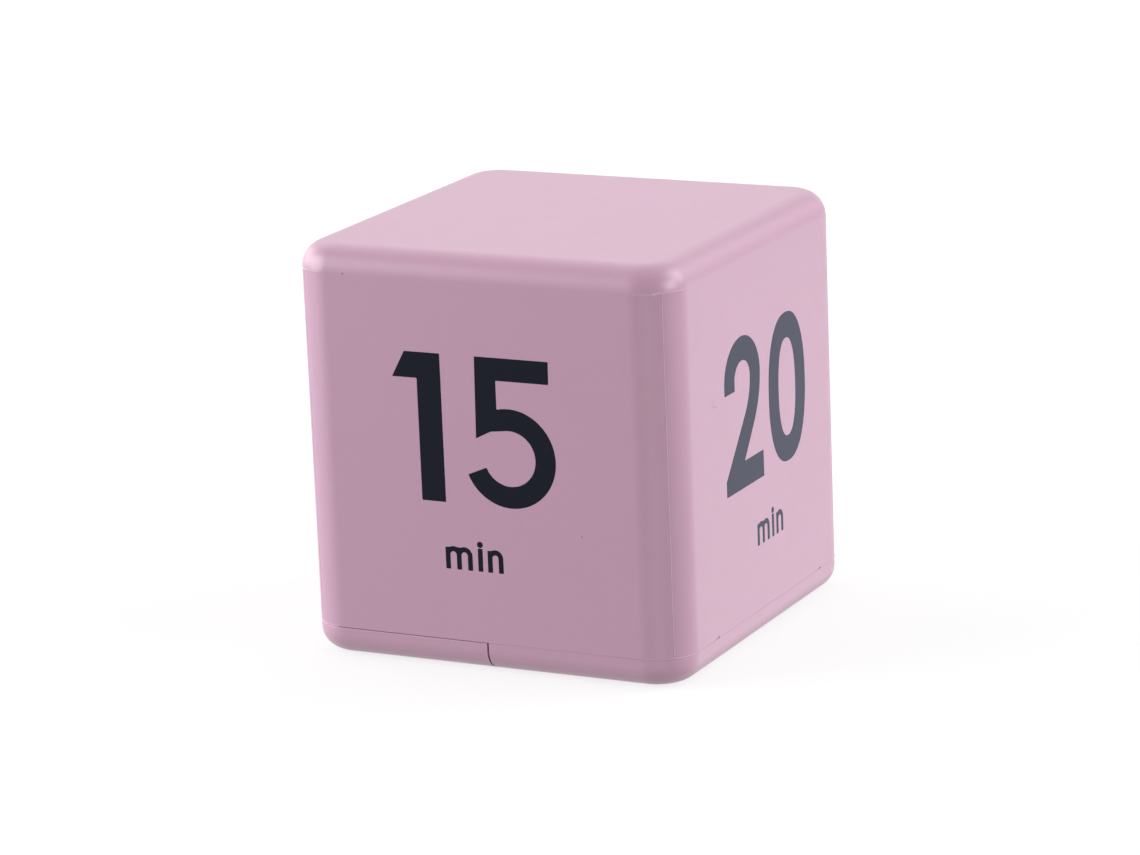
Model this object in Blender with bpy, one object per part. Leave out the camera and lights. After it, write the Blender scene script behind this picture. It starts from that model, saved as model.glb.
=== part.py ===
"""Cube timer: a palm-sized plastic cube that counts down the minutes printed on the face turned up.

Metres, +Z up. The origin is the middle of the display face that the cube stands on. The 15-minute
face looks along -Y and the 20-minute face along +X.
"""

import math

import bmesh
import bpy
from mathutils import Matrix, Vector

# Driving sizes of the case
HEIGHT = 0.0642
CORNER_R = 0.0067
TOP_R = 0.0040
BOTTOM_R = 0.0035
SEAM_Z = 0.0045
SPLIT_X = -0.0003
WALL = 0.0020
FLOOR = 0.0024
GAP = 0.0003
OVERRUN = 0.0010
BITE = 0.0002

# Roundness of the meshes
CORNER_STEPS = 6
EDGE_STEPS = 5
ROUND_SIDES = 24
SMALL_SIDES = 12
SCREW_SIDES = 16
SHARP_ANGLE = math.radians(35)

# Battery bay. Two AAA cells lie side by side over the door, heads at opposite ends.
CELL_R = 0.00525
CELL_BODY = 0.0435
NUB_R = 0.0019
NUB_H = 0.0010
CELL_SPACE = 0.0004
BAY_SPACE = 0.0008
CELL_UNDER = 0.0006
CELL_OVER = 0.0004
BAY_SETBACK = 0.00225
BAY_WALL = 0.0012
BAY_ROOF = 0.0015
BAY_CORNER_R = 0.0012
BAY_ROOM = 0.0051
DOOR_FLOOR = 0.0018
PLATE_T = 0.0005
SPRING_L = 0.0042

CELL_LENGTH = CELL_BODY + NUB_H
CELL_Z = DOOR_FLOOR + CELL_UNDER + CELL_R
BAY_HALF_X = 2 * CELL_R + CELL_SPACE / 2 + BAY_SPACE
BAY_HALF_Y = (CELL_LENGTH + SPRING_L + 2 * PLATE_T + 4 * GAP) / 2
BAY_X = -BAY_SETBACK - BAY_HALF_X
BAY_TOP = CELL_Z + CELL_R + CELL_OVER
ROOF_TOP = BAY_TOP + BAY_ROOF
CELL_X = [BAY_X + side * (CELL_R + CELL_SPACE / 2) for side in (-1, 1)]

# The cube is as wide and deep as the bay, its walls and the room round them ask for: 63.5 mm
HALF = max(BAY_HALF_X - BAY_X, BAY_HALF_Y) + BAY_WALL + BAY_ROOM
SIDE = 2 * HALF
SHELL_FOOT = SEAM_Z + GAP / 2
RIM_TOP = SEAM_Z - GAP / 2
BASE_EDGE = SPLIT_X + GAP / 2
DOOR_EDGE = SPLIT_X - GAP / 2
CAVITY_HALF = HALF - WALL
CEILING = HEIGHT - WALL


def colour(code):
    """An sRGB hex code as linear red, green, blue and alpha."""
    parts = [int(code[i : i + 2], 16) / 255 for i in (0, 2, 4)]
    return [c / 12.92 if c <= 0.04045 else ((c + 0.055) / 1.055) ** 2.4 for c in parts] + [1]


def finish(name, code, roughness, metallic=0):
    made = bpy.data.materials.new(name)
    made.use_nodes = True
    shader = made.node_tree.nodes["Principled BSDF"]
    shader.inputs["Base Color"].default_value = colour(code)
    shader.inputs["Roughness"].default_value = roughness
    shader.inputs["Metallic"].default_value = metallic
    return made


def object_of(shape, name="tool"):
    """Makes an object of a bmesh, with its faces pointing out."""
    bmesh.ops.recalc_face_normals(shape, faces=shape.faces)
    mesh = bpy.data.meshes.new(name)
    shape.to_mesh(mesh)
    shape.free()
    made = bpy.data.objects.new(name, mesh)
    bpy.context.scene.collection.objects.link(made)
    return made


def round_edges(shape, edges, radius, steps):
    bmesh.ops.bevel(
        shape,
        geom=edges,
        offset=radius,
        segments=steps,
        profile=0.5,
        affect="EDGES",
        clamp_overlap=False,
        material=-1,
    )


def block(low, high, corner_r=0, top_r=0, bottom_r=0):
    """A box between two corners, with its upright edges and its top and bottom edges rounded."""
    low, high = Vector(low), Vector(high)
    shape = bmesh.new()
    bmesh.ops.create_cube(shape, size=1)
    bmesh.ops.scale(shape, vec=high - low, verts=shape.verts)
    bmesh.ops.translate(shape, vec=(low + high) / 2, verts=shape.verts)
    middle = (low.z + high.z) / 2
    if corner_r:
        upright = [e for e in shape.edges if (e.verts[0].co.z > middle) != (e.verts[1].co.z > middle)]
        round_edges(shape, upright, corner_r, CORNER_STEPS)
    for radius, above in ((top_r, True), (bottom_r, False)):
        if radius:
            level = [e for e in shape.edges if all((v.co.z > middle) == above for v in e.verts)]
            round_edges(shape, level, radius, EDGE_STEPS)
    return object_of(shape)


def rod(radius, start, end, sides=ROUND_SIDES):
    """A round bar from one point to another."""
    start, end = Vector(start), Vector(end)
    along = end - start
    shape = bmesh.new()
    bmesh.ops.create_cone(
        shape, cap_ends=True, segments=sides, radius1=radius, radius2=radius, depth=along.length
    )
    turn = along.to_track_quat("Z", "Y").to_matrix().to_4x4()
    bmesh.ops.transform(
        shape, matrix=Matrix.Translation((start + end) / 2) @ turn, verts=shape.verts
    )
    return object_of(shape)


def turned(profile, sides=ROUND_SIDES):
    """Spins a closed outline of (radius, height) points about Z. Points on the axis become one."""
    shape = bmesh.new()
    points = [shape.verts.new((radius, 0, height)) for radius, height in profile]
    edges = [shape.edges.new((a, b)) for a, b in zip(points, points[1:] + points[:1])]
    bmesh.ops.spin(
        shape,
        geom=points + edges,
        axis=(0, 0, 1),
        cent=(0, 0, 0),
        angle=math.tau,
        steps=sides,
        use_merge=True,
    )
    bmesh.ops.remove_doubles(shape, verts=shape.verts, dist=BITE / 100)
    return object_of(shape)


def prism(outline, low, high):
    """A flat outline pushed out along Z, from low to high."""
    shape = bmesh.new()
    face = shape.faces.new([shape.verts.new((x, y, low)) for x, y in outline])
    grown = bmesh.ops.extrude_face_region(shape, geom=[face])["geom"]
    moved = [v for v in grown if isinstance(v, bmesh.types.BMVert)]
    bmesh.ops.translate(shape, vec=(0, 0, high - low), verts=moved)
    return object_of(shape)


def tube(points, radius, rings=1):
    """A round tube along points, as a mesh with filled ends."""
    line = bpy.data.curves.new("tube", "CURVE")
    line.dimensions = "3D"
    line.bevel_depth = radius
    line.bevel_resolution = rings
    line.use_fill_caps = True
    path = line.splines.new("POLY")
    path.points.add(len(points) - 1)
    for point, place in zip(path.points, points):
        point.co = (*place, 1)
    guide = bpy.data.objects.new("guide", line)
    bpy.context.scene.collection.objects.link(guide)
    shape = bmesh.new()
    shape.from_mesh(guide.to_mesh())
    guide.to_mesh_clear()
    bpy.data.objects.remove(guide)
    bmesh.ops.remove_doubles(shape, verts=shape.verts, dist=BITE / 100)
    return object_of(shape)


def flowing(places, steps):
    """Points read from the smooth Catmull-Rom curve through places."""
    places = [Vector(p) for p in places]
    guides = [places[0] * 2 - places[1], *places, places[-1] * 2 - places[-2]]
    points = []
    for a, b, c, d in zip(guides, guides[1:], guides[2:], guides[3:]):
        for step in range(steps):
            t = step / steps
            pull = (2 * a - 5 * b + 4 * c - d) * t**2 + (3 * b - a - 3 * c + d) * t**3
            points.append((2 * b + (c - a) * t + pull) / 2)
    return points + [places[-1]]


def carve(body, joins=(), cuts=()):
    """Joins shapes to a body, then takes others away, and leaves one plain mesh."""
    for operation, tools in (("UNION", joins), ("DIFFERENCE", cuts)):
        for tool in tools:
            step = body.modifiers.new(operation, "BOOLEAN")
            step.operation = operation
            step.object = tool
    bpy.context.view_layer.update()
    graph = bpy.context.evaluated_depsgraph_get()
    body.data = bpy.data.meshes.new_from_object(body.evaluated_get(graph))
    body.modifiers.clear()
    for tool in (*joins, *cuts):
        bpy.data.objects.remove(tool)
    return body


def piece(name, body, material, parent, at=(0, 0, 0), turn=(0, 0, 0)):
    """Names a finished body, gives it its material and puts it in its place."""
    body.name = name
    body.data.name = name
    body.data.materials.clear()
    body.data.materials.append(material)
    body.data.shade_smooth()
    body.data.set_sharp_from_angle(angle=SHARP_ANGLE)
    body.parent = parent
    body.location = at
    body.rotation_euler = turn
    return body


def hub(name, at=(0, 0, 0), parent=None):
    made = bpy.data.objects.new(name, None)
    made.empty_display_size = HALF
    made.parent = parent
    made.location = at
    bpy.context.scene.collection.objects.link(made)
    return made


for old in list(bpy.data.objects):
    bpy.data.objects.remove(old)

PINK = finish("pink_abs", "D2A5BC", 0.42)
BLACK = finish("black_plastic", "1B1B1E", 0.45)
CLEAR = finish("clear_window", "C9D2D0", 0.08)
GLASS = finish("display_glass", "8F9A86", 0.15)
WHITE = finish("white_plastic", "E6E4DE", 0.5)
RUBBER = finish("contact_rubber", "3A3A3C", 0.8)
BOARD = finish("green_board", "1F5B3A", 0.45)
RESIN = finish("black_resin", "101012", 0.3)
STEEL = finish("nickel_steel", "B9BABC", 0.28, 1)
BRASS = finish("brass", "C7A257", 0.3, 1)
CERAMIC = finish("silvered_ceramic", "D9D9D6", 0.35)
FERRITE = finish("ferrite", "2C2C30", 0.6)
SLEEVE = finish("cell_sleeve", "3E6A86", 0.35)
RED_WIRE = finish("red_wire", "B3262B", 0.45)
BLACK_WIRE = finish("black_wire", "18181A", 0.45)

CUBE = hub("cube_timer")
DOOR_SLIDE = hub("door_slide", (DOOR_EDGE, 0, 0), CUBE)

# Case screws. They rise through the bay's roof into two pillars under the shell's ceiling.
CASE_HEAD_R = 0.0025
CASE_HEAD_H = 0.0015
CASE_SHANK_R = 0.0013
CASE_SHANK_L = 0.0100
COUNTERBORE = 0.0010
SEAT_R = 0.0040
SEAT_ROOM = 0.0006
SEAT_RISE = 0.0015
PILLAR_R = 0.0030
PILLAR_HOLE = 0.0120
RIB_T = 0.0012
RIB_Z = 0.0400

# The buzzer's cup lies between the two screw seats on the bay's roof
BUZZER_R = 0.0120
CUP_WALL = 0.0011
CUP_IN = BUZZER_R + GAP
CASE_SCREW_Y = CUP_IN + CUP_WALL + SEAT_ROOM + SEAT_R
SEAT_TOP = ROOF_TOP + SEAT_RISE
CASE_HOLE_R = CASE_SHANK_R + GAP

# Snap hooks that hold the base's display side to the shell
HOOK_Y = 0.0120
HOOK_W = 0.0060
HOOK_T = 0.0012
HOOK_NOSE_H = 0.0015
CATCH_W = 0.0080
CATCH_T = 0.0010
CATCH_H = 0.0015
CATCH_Z = 0.0085

# Printed figures. Each stands in a shallow recess of the same outline, which the ink fills.
FIGURE_H = 0.02295
FIGURE_STEPS = 5
LETTER_STEPS = 3
PRINT_DEPTH = 0.0002
LETTER_H = 0.0036
LETTER_STROKE = 0.00082
DOT_R = 0.0005
DOT_RISE = 0.0042
LETTER_DROP = 0.0104
PRINT_Z = 0.0262
RIGHT_PRINT_Z = 0.0252
FRONT_SHIFT = -0.0010
FRONT_UNIT_SHIFT = -0.0019
RIGHT_SHIFT = 0.00155
RIGHT_UNIT_SHIFT = 0.0020

# Shares of the figure height that draw the figures, across and up from the left of the baseline
STROKE_SHARE = 0.176
THIN_SHARE = 0.152
WIDE_SHARE = 0.604
BOWL_WIDE_SHARE = 0.652
SPACE_SHARES = {"15": 0.164, "20": 0.105, "30": 0.105, "60": 0.105}
ROUND_POWER = 2.3


def arc(centre, radii, start, end, power=2, fineness=FIGURE_STEPS):
    """Points round an oval from one angle in degrees to another. A power over 2 squares it off."""
    steps = max(2, round(abs(end - start) / 90 * fineness))
    points = []
    for step in range(steps + 1):
        angle = math.radians(start + (end - start) * step / steps)
        across, up = math.cos(angle), math.sin(angle)
        points.append(
            (
                centre[0] + radii[0] * math.copysign(abs(across) ** (2 / power), across),
                centre[1] + radii[1] * math.copysign(abs(up) ** (2 / power), up),
            )
        )
    return points


def bend(start, pull, end):
    """Points along a curve that leaves start towards pull and reaches end, without its two ends."""
    shares = [step / FIGURE_STEPS for step in range(1, FIGURE_STEPS)]
    return [
        tuple((1 - t) ** 2 * a + 2 * t * (1 - t) * b + t**2 * c for a, b, c in zip(start, pull, end))
        for t in shares
    ]


def figure_0():
    """An upright oval ring."""
    middle_shares, outer_shares, inner_shares = (0.302, 0.512), (0.302, 0.512), (0.138, 0.336)
    outer = arc(middle_shares, outer_shares, 0, 360, ROUND_POWER)[:-1]
    inner = arc(middle_shares, inner_shares, 0, 360, ROUND_POWER)[:-1]
    return outer, inner, WIDE_SHARE


def figure_1():
    """A stem with a flag cut on the slant."""
    right_share, slant_share = 0.357, 0.096
    left_share, flag_share = right_share - STROKE_SHARE, 1 - STROKE_SHARE
    outline = [(slant_share, 1), (right_share, 1), (right_share, 0)]
    outline += [(left_share, 0), (left_share, flag_share), (0, flag_share)]
    return outline, None, right_share


def figure_2():
    """A hook that runs down a slanted stem into a flat foot."""
    middle_shares, outer_share, inner_share = (0.291, 0.739), 0.286, 0.122
    tip_shares = [(0.005, 0.680), (0.169, 0.680)]
    stem_shares = [(0.577, 0.545), (0.440, 0.370)]
    foot_shares = [(0.298, 0.180), (0.600, 0.180), (0.600, 0), (0, 0), (0, 0.105), (0.313, 0.480)]
    rise_shares = (0.413, 0.600)
    crown = arc(middle_shares, (outer_share, outer_share), 180, 0)
    under = arc(middle_shares, (inner_share, inner_share), 0, 180)
    stem = [*bend(crown[-1], *stem_shares), stem_shares[-1]]
    rise = bend(foot_shares[-1], rise_shares, under[0])
    outline = [tip_shares[0], *crown, *stem, *foot_shares, *rise, *under, tip_shares[1]]
    return outline, None, WIDE_SHARE


def figure_3():
    """Two open bowls, the lower one wider, that meet at a short waist."""
    upper_shares, lower_shares = (0.290, 0.755), (0.290, 0.285)
    outer_shares, inner_shares = (0.262, 0.302), (0.112, 0.137)
    waist_shares = [(0.235, 0.425), (0.235, 0.605)]
    high = arc(upper_shares, (outer_shares[0], outer_shares[0]), 155, -45)
    low = arc(lower_shares, (outer_shares[1], outer_shares[1]), 55, -160)
    under = arc(lower_shares, (inner_shares[1], inner_shares[1]), -160, 80)
    over = arc(upper_shares, (inner_shares[0], inner_shares[0]), -80, 155)
    return high + low + under + waist_shares + over, None, WIDE_SHARE


def figure_5():
    """A flag, an upright stem and a round bowl."""
    middle_shares, outer_share, inner_share = (0.318, 0.331), 0.334, 0.187
    flag_share = 1 - THIN_SHARE
    flag_shares = [(0.089, 1), (0.623, 1), (0.620, flag_share), (0.238, flag_share)]
    foot_shares = [(0.186, 0.504), (0.078, 0.450)]
    bowl = arc(middle_shares, (outer_share, outer_share), 104, -157.5)
    under = arc(middle_shares, (inner_share, inner_share), -157.5, 100)
    return flag_shares + bowl + under + foot_shares, None, BOWL_WIDE_SHARE


def figure_6():
    """A round bowl under a long slanted stem."""
    middle_shares, outer_share, inner_share = (0.325, 0.320), 0.325, 0.170
    stem_shares = [(0.395, 0.640), (0.600, 1), (0.405, 1)]
    bowl = arc(middle_shares, (outer_share, outer_share), 150, 410)
    inner = arc(middle_shares, (inner_share, inner_share), 0, 360)[:-1]
    return bowl + stem_shares, inner, BOWL_WIDE_SHARE


FIGURES = {"0": figure_0, "1": figure_1, "2": figure_2, "3": figure_3, "5": figure_5, "6": figure_6}


def legs(places):
    """The outline of a letter like m or n: upright legs at places, joined at the top by arches."""
    half, stroke = LETTER_STROKE / 2, LETTER_STROKE
    top, spring = LETTER_H, LETTER_H - stroke - (places[1] - places[0] - stroke) / 2
    outline = [(places[0] - half, 0), (places[0] - half, top - stroke / 4)]
    for left, right in zip(places, places[1:]):
        middle, reach = (left + right) / 2, (right - left) / 2
        crown = arc((middle, spring), (reach + half, top - spring), 120, 0, fineness=LETTER_STEPS)
        outline += crown if right == places[-1] else crown[:-LETTER_STEPS + 1]
    outline += [(places[-1] + half, 0)]
    for left, right in zip(places[-2::-1], places[:0:-1]):
        middle, reach = (left + right) / 2, (right - left) / 2 - half
        inner = arc((middle, spring), (reach, reach), 0, 180, fineness=LETTER_STEPS)
        outline += [(right - half, 0), *inner]
        outline += [(left + half, 0)]
    return outline


def letters_min():
    """The outlines of the word min, from the left of the m at x = 0, and its width."""
    half, leg = LETTER_STROKE / 2, LETTER_H * 0.52
    m_legs = [half + leg * n for n in range(3)]
    i_x = m_legs[-1] + leg * 0.93
    n_legs = [i_x + leg * 0.87, i_x + leg * 1.84]
    stem = [(i_x - half, 0), (i_x - half, LETTER_H), (i_x + half, LETTER_H), (i_x + half, 0)]
    dot = arc((i_x, DOT_RISE), (DOT_R, DOT_R), 0, 360, fineness=LETTER_STEPS)[:-1]
    return [legs(m_legs), stem, dot, legs(n_legs)], n_legs[-1] + half


def recesses(figures, heading, shift, unit_shift, baseline):
    """Cutters for a face's figures and the word min under them."""
    face = Matrix.Rotation(heading, 4, "Z") @ Matrix.Translation((0, -HALF, 0))
    face = face @ Matrix.Rotation(math.radians(90), 4, "X")
    drawn = [FIGURES[figure]() for figure in figures]
    space = SPACE_SHARES[figures] * FIGURE_H
    x = shift - (sum(width for *_, width in drawn) * FIGURE_H + space) / 2
    tools = []
    for outer, inner, width in drawn:
        rings = [
            [(x + u * FIGURE_H, baseline + v * FIGURE_H) for u, v in ring]
            for ring in (outer, inner)
            if ring
        ]
        body = prism(rings[0], -PRINT_DEPTH, OVERRUN)
        if inner:
            carve(body, cuts=[prism(rings[1], -PRINT_DEPTH - OVERRUN, 2 * OVERRUN)])
        tools.append(body)
        x += width * FIGURE_H + space
    words, width = letters_min()
    x = unit_shift - width / 2
    for outline in words:
        moved = [(x + u, baseline - LETTER_DROP + v) for u, v in outline]
        tools.append(prism(moved, -PRINT_DEPTH, OVERRUN))
    for tool in tools:
        tool.matrix_world = face
    return tools


def make_shell():
    """Five walls in one moulding, open below, with two screw pillars and two snap catches."""
    body = block(
        (-HALF, -HALF, SHELL_FOOT), (HALF, HALF, HEIGHT), corner_r=CORNER_R, top_r=TOP_R
    )
    cavity = block(
        (-CAVITY_HALF, -CAVITY_HALF, SHELL_FOOT - OVERRUN),
        (CAVITY_HALF, CAVITY_HALF, CEILING),
        corner_r=CORNER_R - WALL,
        top_r=TOP_R - WALL,
    )
    carve(body, cuts=[cavity])
    foot = SEAT_TOP + GAP
    joins, holes = [], []
    for side in (-1, 1):
        y = side * CASE_SCREW_Y
        joins.append(rod(PILLAR_R, (BAY_X, y, foot), (BAY_X, y, CEILING + BITE)))
        rib_y = sorted((y, side * (CAVITY_HALF + BITE)))
        joins.append(
            block((BAY_X - RIB_T / 2, rib_y[0], RIB_Z), (BAY_X + RIB_T / 2, rib_y[1], CEILING + BITE))
        )
        hook_y = side * HOOK_Y
        joins.append(
            block(
                (CAVITY_HALF - CATCH_T, hook_y - CATCH_W / 2, CATCH_Z),
                (CAVITY_HALF + BITE, hook_y + CATCH_W / 2, CATCH_Z + CATCH_H),
            )
        )
        holes.append(rod(CASE_HOLE_R, (BAY_X, y, foot - OVERRUN), (BAY_X, y, foot + PILLAR_HOLE)))
    carve(body, joins=joins, cuts=holes)
    quarter = math.radians(90)
    for figures, turn in (("15", 0), ("30", 2 * quarter)):
        carve(body, cuts=recesses(figures, turn, FRONT_SHIFT, FRONT_UNIT_SHIFT, PRINT_Z))
    for figures, turn in (("20", quarter), ("60", 3 * quarter)):
        carve(body, cuts=recesses(figures, turn, RIGHT_SHIFT, RIGHT_UNIT_SHIFT, RIGHT_PRINT_Z))
    return piece("case_shell", body, PINK, CUBE)


# Base: rim and display floor on the right, a deck over the door on the left, a lip all round
LIP_WALL = 0.0012
LIP_RISE = 0.0030
DECK_T = 0.0030
DIVIDER = 0.0028
POCKET_STEP = 0.0004
CRADLE_Y = 0.0090
CRADLE_T = 0.0015
CRADLE_DEPTH = 0.0038
TAB_W = 0.0025
TAB_RISE = 0.0025

LIP_HALF = CAVITY_HALF - GAP
LIP_IN = LIP_HALF - LIP_WALL
LIP_R = CORNER_R - WALL - GAP
LIP_TOP = SEAM_Z + LIP_RISE
DECK_Z = DOOR_FLOOR + GAP
DECK_TOP = DECK_Z + DECK_T

# Door rails and tongues, and the grooves and pockets of the base that they run in
RAIL_DEPTH = 0.0009
RAIL_Z = 0.0032
RAIL_H = 0.0006
RAIL_SETBACK = 0.00475
RAIL_END = -0.0020
TONGUE_Y = 0.0180
TONGUE_W = 0.0080
TONGUE_L = 0.0018
TONGUE_T = 0.0009
GRIP_INSET = 0.00825
GRIP_PITCH = 0.0020
GRIP_W = 0.0009
GRIP_L = 0.0140
GRIP_DEPTH = 0.0005
GRIP_COUNT = 4
GRIP_R = 0.0004

# Board, over the display side, held by a screw in each corner
BOARD_Z = 0.0075
BOARD_T = 0.0012
BOARD_R = 0.0015
BOARD_ROOM = 0.00045
ARM_ROOM = 0.00035
PCB_EDGE = 0.0019
PCB_BOSS_R = 0.0020
PCB_SHANK_R = 0.0008
PCB_SHANK_L = 0.0055
PCB_HEAD_R = 0.0017
PCB_HEAD_H = 0.0012

ARM_X = CAVITY_HALF - CATCH_T - GAP
BOARD_HALF_X = (ARM_X - HOOK_T - ARM_ROOM - DIVIDER - GAP) / 2
BOARD_HALF_Y = LIP_IN - BOARD_ROOM
BOARD_TOP = BOARD_Z + BOARD_T
PANEL_X = DIVIDER + GAP + BOARD_HALF_X
MOUNT_TOP = BOARD_Z - GAP
PART_FOOT = BOARD_TOP + GAP
PCB_SCREW_X = BOARD_HALF_X - PCB_EDGE
PCB_SCREW_Y = BOARD_HALF_Y - PCB_EDGE
PCB_HOLE_R = PCB_SHANK_R + GAP
PCB_SCREWS = [(PANEL_X + u * PCB_SCREW_X, v * PCB_SCREW_Y) for u in (-1, 1) for v in (-1, 1)]

# Slide switch, below the display on the same middle line
SWITCH_W = 0.0130
SWITCH_D = 0.0060
SWITCH_Z = 0.0032
SWITCH_SETBACK = 0.0059
SWITCH_SHEET = 0.0005
SWITCH_TRAVEL = 0.0040
KNOB_W = 0.0030
KNOB_D = 0.0024
KNOB_TIP = 0.00035
KNOB_GROOVE = 0.0004
WAFER_W = 0.0060
WAFER_T = 0.0015
TERMINAL_T = 0.0012
WELL_DEPTH = 0.0012
WELL_EDGE = 0.0005
WELL_R = 0.0010

SWITCH_Y = SWITCH_SETBACK - PCB_SCREW_Y

# Display, which fills the room between the switch and the two far screws
SWITCH_SPACE = 0.0055
HOLDER_ROOM = 0.0004
HOLDER_MARGIN = 0.0029
HOLDER_WALL = 0.0012
PANE_T = 0.0011
LEDGE_W = 0.0025
STRIP_W = 0.0018
STRIP_INSET = 0.0010
WINDOW_INSET = 0.00025
WINDOW_T = 0.0010
WINDOW_R = 0.0015
VIEW_FRAME = 0.00175

LCD_FAR = PCB_SCREW_Y - PCB_BOSS_R - HOLDER_ROOM - HOLDER_WALL - GAP
LCD_NEAR = SWITCH_Y + SWITCH_D / 2 + SWITCH_SPACE + HOLDER_WALL + GAP
LCD_Y = (LCD_FAR + LCD_NEAR) / 2
LCD_L = LCD_FAR - LCD_NEAR
LCD_W = 2 * (BOARD_HALF_X - HOLDER_MARGIN - HOLDER_WALL - GAP)
LCD_Z = FLOOR + GAP
STRIP_L = LCD_L - 2 * STRIP_INSET
WINDOW_W = LCD_W
WINDOW_L = LCD_L - 2 * WINDOW_INSET
VIEW_W = WINDOW_W - 2 * VIEW_FRAME
VIEW_L = WINDOW_L - 2 * VIEW_FRAME


def make_base():
    """The moulding that closes the cube below and carries the cells, the display and the board."""
    body = block((-HALF, -HALF, 0), (HALF, HALF, RIM_TOP), corner_r=CORNER_R, bottom_r=BOTTOM_R)
    door_side = block((-SIDE, -SIDE, -OVERRUN), (BASE_EDGE, SIDE, SEAM_Z))
    carve(body, cuts=[door_side])
    deck = block((-LIP_HALF, -LIP_HALF, DECK_Z), (LIP_HALF, LIP_HALF, LIP_TOP), corner_r=LIP_R)
    well = block(
        (-LIP_IN, -LIP_IN, DECK_TOP), (LIP_IN, LIP_IN, LIP_TOP + OVERRUN), corner_r=LIP_R - LIP_WALL
    )
    inner = LIP_IN - POCKET_STEP
    display_well = block(
        (DIVIDER, -inner, FLOOR), (inner, inner, DECK_TOP + OVERRUN), corner_r=LIP_R - LIP_WALL
    )
    carve(body, joins=[deck], cuts=[well, display_well])

    wall_x, wall_y = BAY_HALF_X + BAY_WALL, BAY_HALF_Y + BAY_WALL
    joins = [
        block(
            (BAY_X - wall_x, -wall_y, DECK_Z + BITE),
            (BAY_X + wall_x, wall_y, ROOF_TOP),
            corner_r=BAY_CORNER_R,
        )
    ]
    for side in (-1, 1):
        y = side * CASE_SCREW_Y
        joins.append(rod(SEAT_R, (BAY_X, y, BAY_TOP + BITE), (BAY_X, y, SEAT_TOP)))
        arm_y = side * HOOK_Y
        nose_z = CATCH_Z + CATCH_H + GAP
        arm = block(
            (ARM_X - HOOK_T, arm_y - HOOK_W / 2, SEAM_Z),
            (ARM_X, arm_y + HOOK_W / 2, nose_z + HOOK_NOSE_H),
        )
        nose = block(
            (ARM_X - BITE, arm_y - HOOK_W / 2, nose_z),
            (LIP_HALF, arm_y + HOOK_W / 2, nose_z + HOOK_NOSE_H - BITE),
        )
        joins += [arm, nose]
    joins += [rod(PCB_BOSS_R, (x, y, FLOOR - BITE), (x, y, MOUNT_TOP)) for x, y in PCB_SCREWS]
    bay = block(
        (BAY_X - BAY_HALF_X, -BAY_HALF_Y, DECK_Z - OVERRUN), (BAY_X + BAY_HALF_X, BAY_HALF_Y, BAY_TOP)
    )
    carve(body, joins=joins, cuts=[bay])
    carve(body, joins=[cradle(side * CRADLE_Y) for side in (-1, 1)], cuts=base_cuts())
    return piece("case_base", body, PINK, CUBE)


def cradle(y):
    """A rib under the bay's roof with a round seat for each cell."""
    rib = block(
        (BAY_X - BAY_HALF_X - BITE, y - CRADLE_T / 2, BAY_TOP - CRADLE_DEPTH),
        (BAY_X + BAY_HALF_X + BITE, y + CRADLE_T / 2, BAY_TOP + BITE),
    )
    seats = [
        rod(CELL_R + GAP, (x, y - CRADLE_T, CELL_Z), (x, y + CRADLE_T, CELL_Z))
        for x in CELL_X
    ]
    return carve(rib, cuts=seats)


def base_cuts():
    """Screw holes, contact slots, rail grooves, tongue pockets, the window and the switch's well."""
    cuts = []
    for side in (-1, 1):
        y = side * CASE_SCREW_Y
        low, seat = BAY_TOP - OVERRUN, BAY_TOP + COUNTERBORE
        cuts.append(rod(CASE_HEAD_R + GAP, (BAY_X, y, low), (BAY_X, y, seat)))
        cuts.append(rod(CASE_HOLE_R, (BAY_X, y, low), (BAY_X, y, SEAT_TOP + OVERRUN)))
        groove_y = sorted((side * (CAVITY_HALF - RAIL_DEPTH - GAP), side * HALF))
        cuts.append(
            block(
                (-HALF, groove_y[0], RAIL_Z - GAP),
                (RAIL_END + GAP, groove_y[1], RAIL_Z + RAIL_H + GAP),
            )
        )
        tongue_y = side * TONGUE_Y
        cuts.append(
            block(
                (BASE_EDGE - OVERRUN, tongue_y - TONGUE_W / 2 - GAP, DOOR_FLOOR - TONGUE_T - GAP),
                (BASE_EDGE + TONGUE_L, tongue_y + TONGUE_W / 2 + GAP, DECK_Z),
            )
        )
    for x in CELL_X:
        cuts.append(
            block(
                (x - TAB_W / 2 - GAP, -BAY_HALF_Y - GAP, BAY_TOP - OVERRUN),
                (x + TAB_W / 2 + GAP, -BAY_HALF_Y + PLATE_T + 2 * GAP, ROOF_TOP + OVERRUN),
            )
        )
    for x, y in PCB_SCREWS:
        cuts.append(
            rod(PCB_HOLE_R, (x, y, PART_FOOT - PCB_SHANK_L - GAP), (x, y, MOUNT_TOP + OVERRUN))
        )
    view = block(
        (PANEL_X - VIEW_W / 2, LCD_Y - VIEW_L / 2, -OVERRUN),
        (PANEL_X + VIEW_W / 2, LCD_Y + VIEW_L / 2, FLOOR + OVERRUN),
        corner_r=WINDOW_R / 2,
    )
    rebate = block(
        (PANEL_X - WINDOW_W / 2 - GAP, LCD_Y - WINDOW_L / 2 - GAP, -OVERRUN),
        (PANEL_X + WINDOW_W / 2 + GAP, LCD_Y + WINDOW_L / 2 + GAP, WINDOW_T + 2 * GAP),
        corner_r=WINDOW_R,
    )
    knob_well = block(
        (PANEL_X - SWITCH_W / 2, SWITCH_Y - SWITCH_D / 2 - WELL_EDGE, -OVERRUN),
        (PANEL_X + SWITCH_W / 2, SWITCH_Y + SWITCH_D / 2 + WELL_EDGE, WELL_DEPTH),
        corner_r=WELL_R,
    )
    return [*cuts, view, rebate, knob_well, knob_slot(FLOOR + OVERRUN)]


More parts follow.
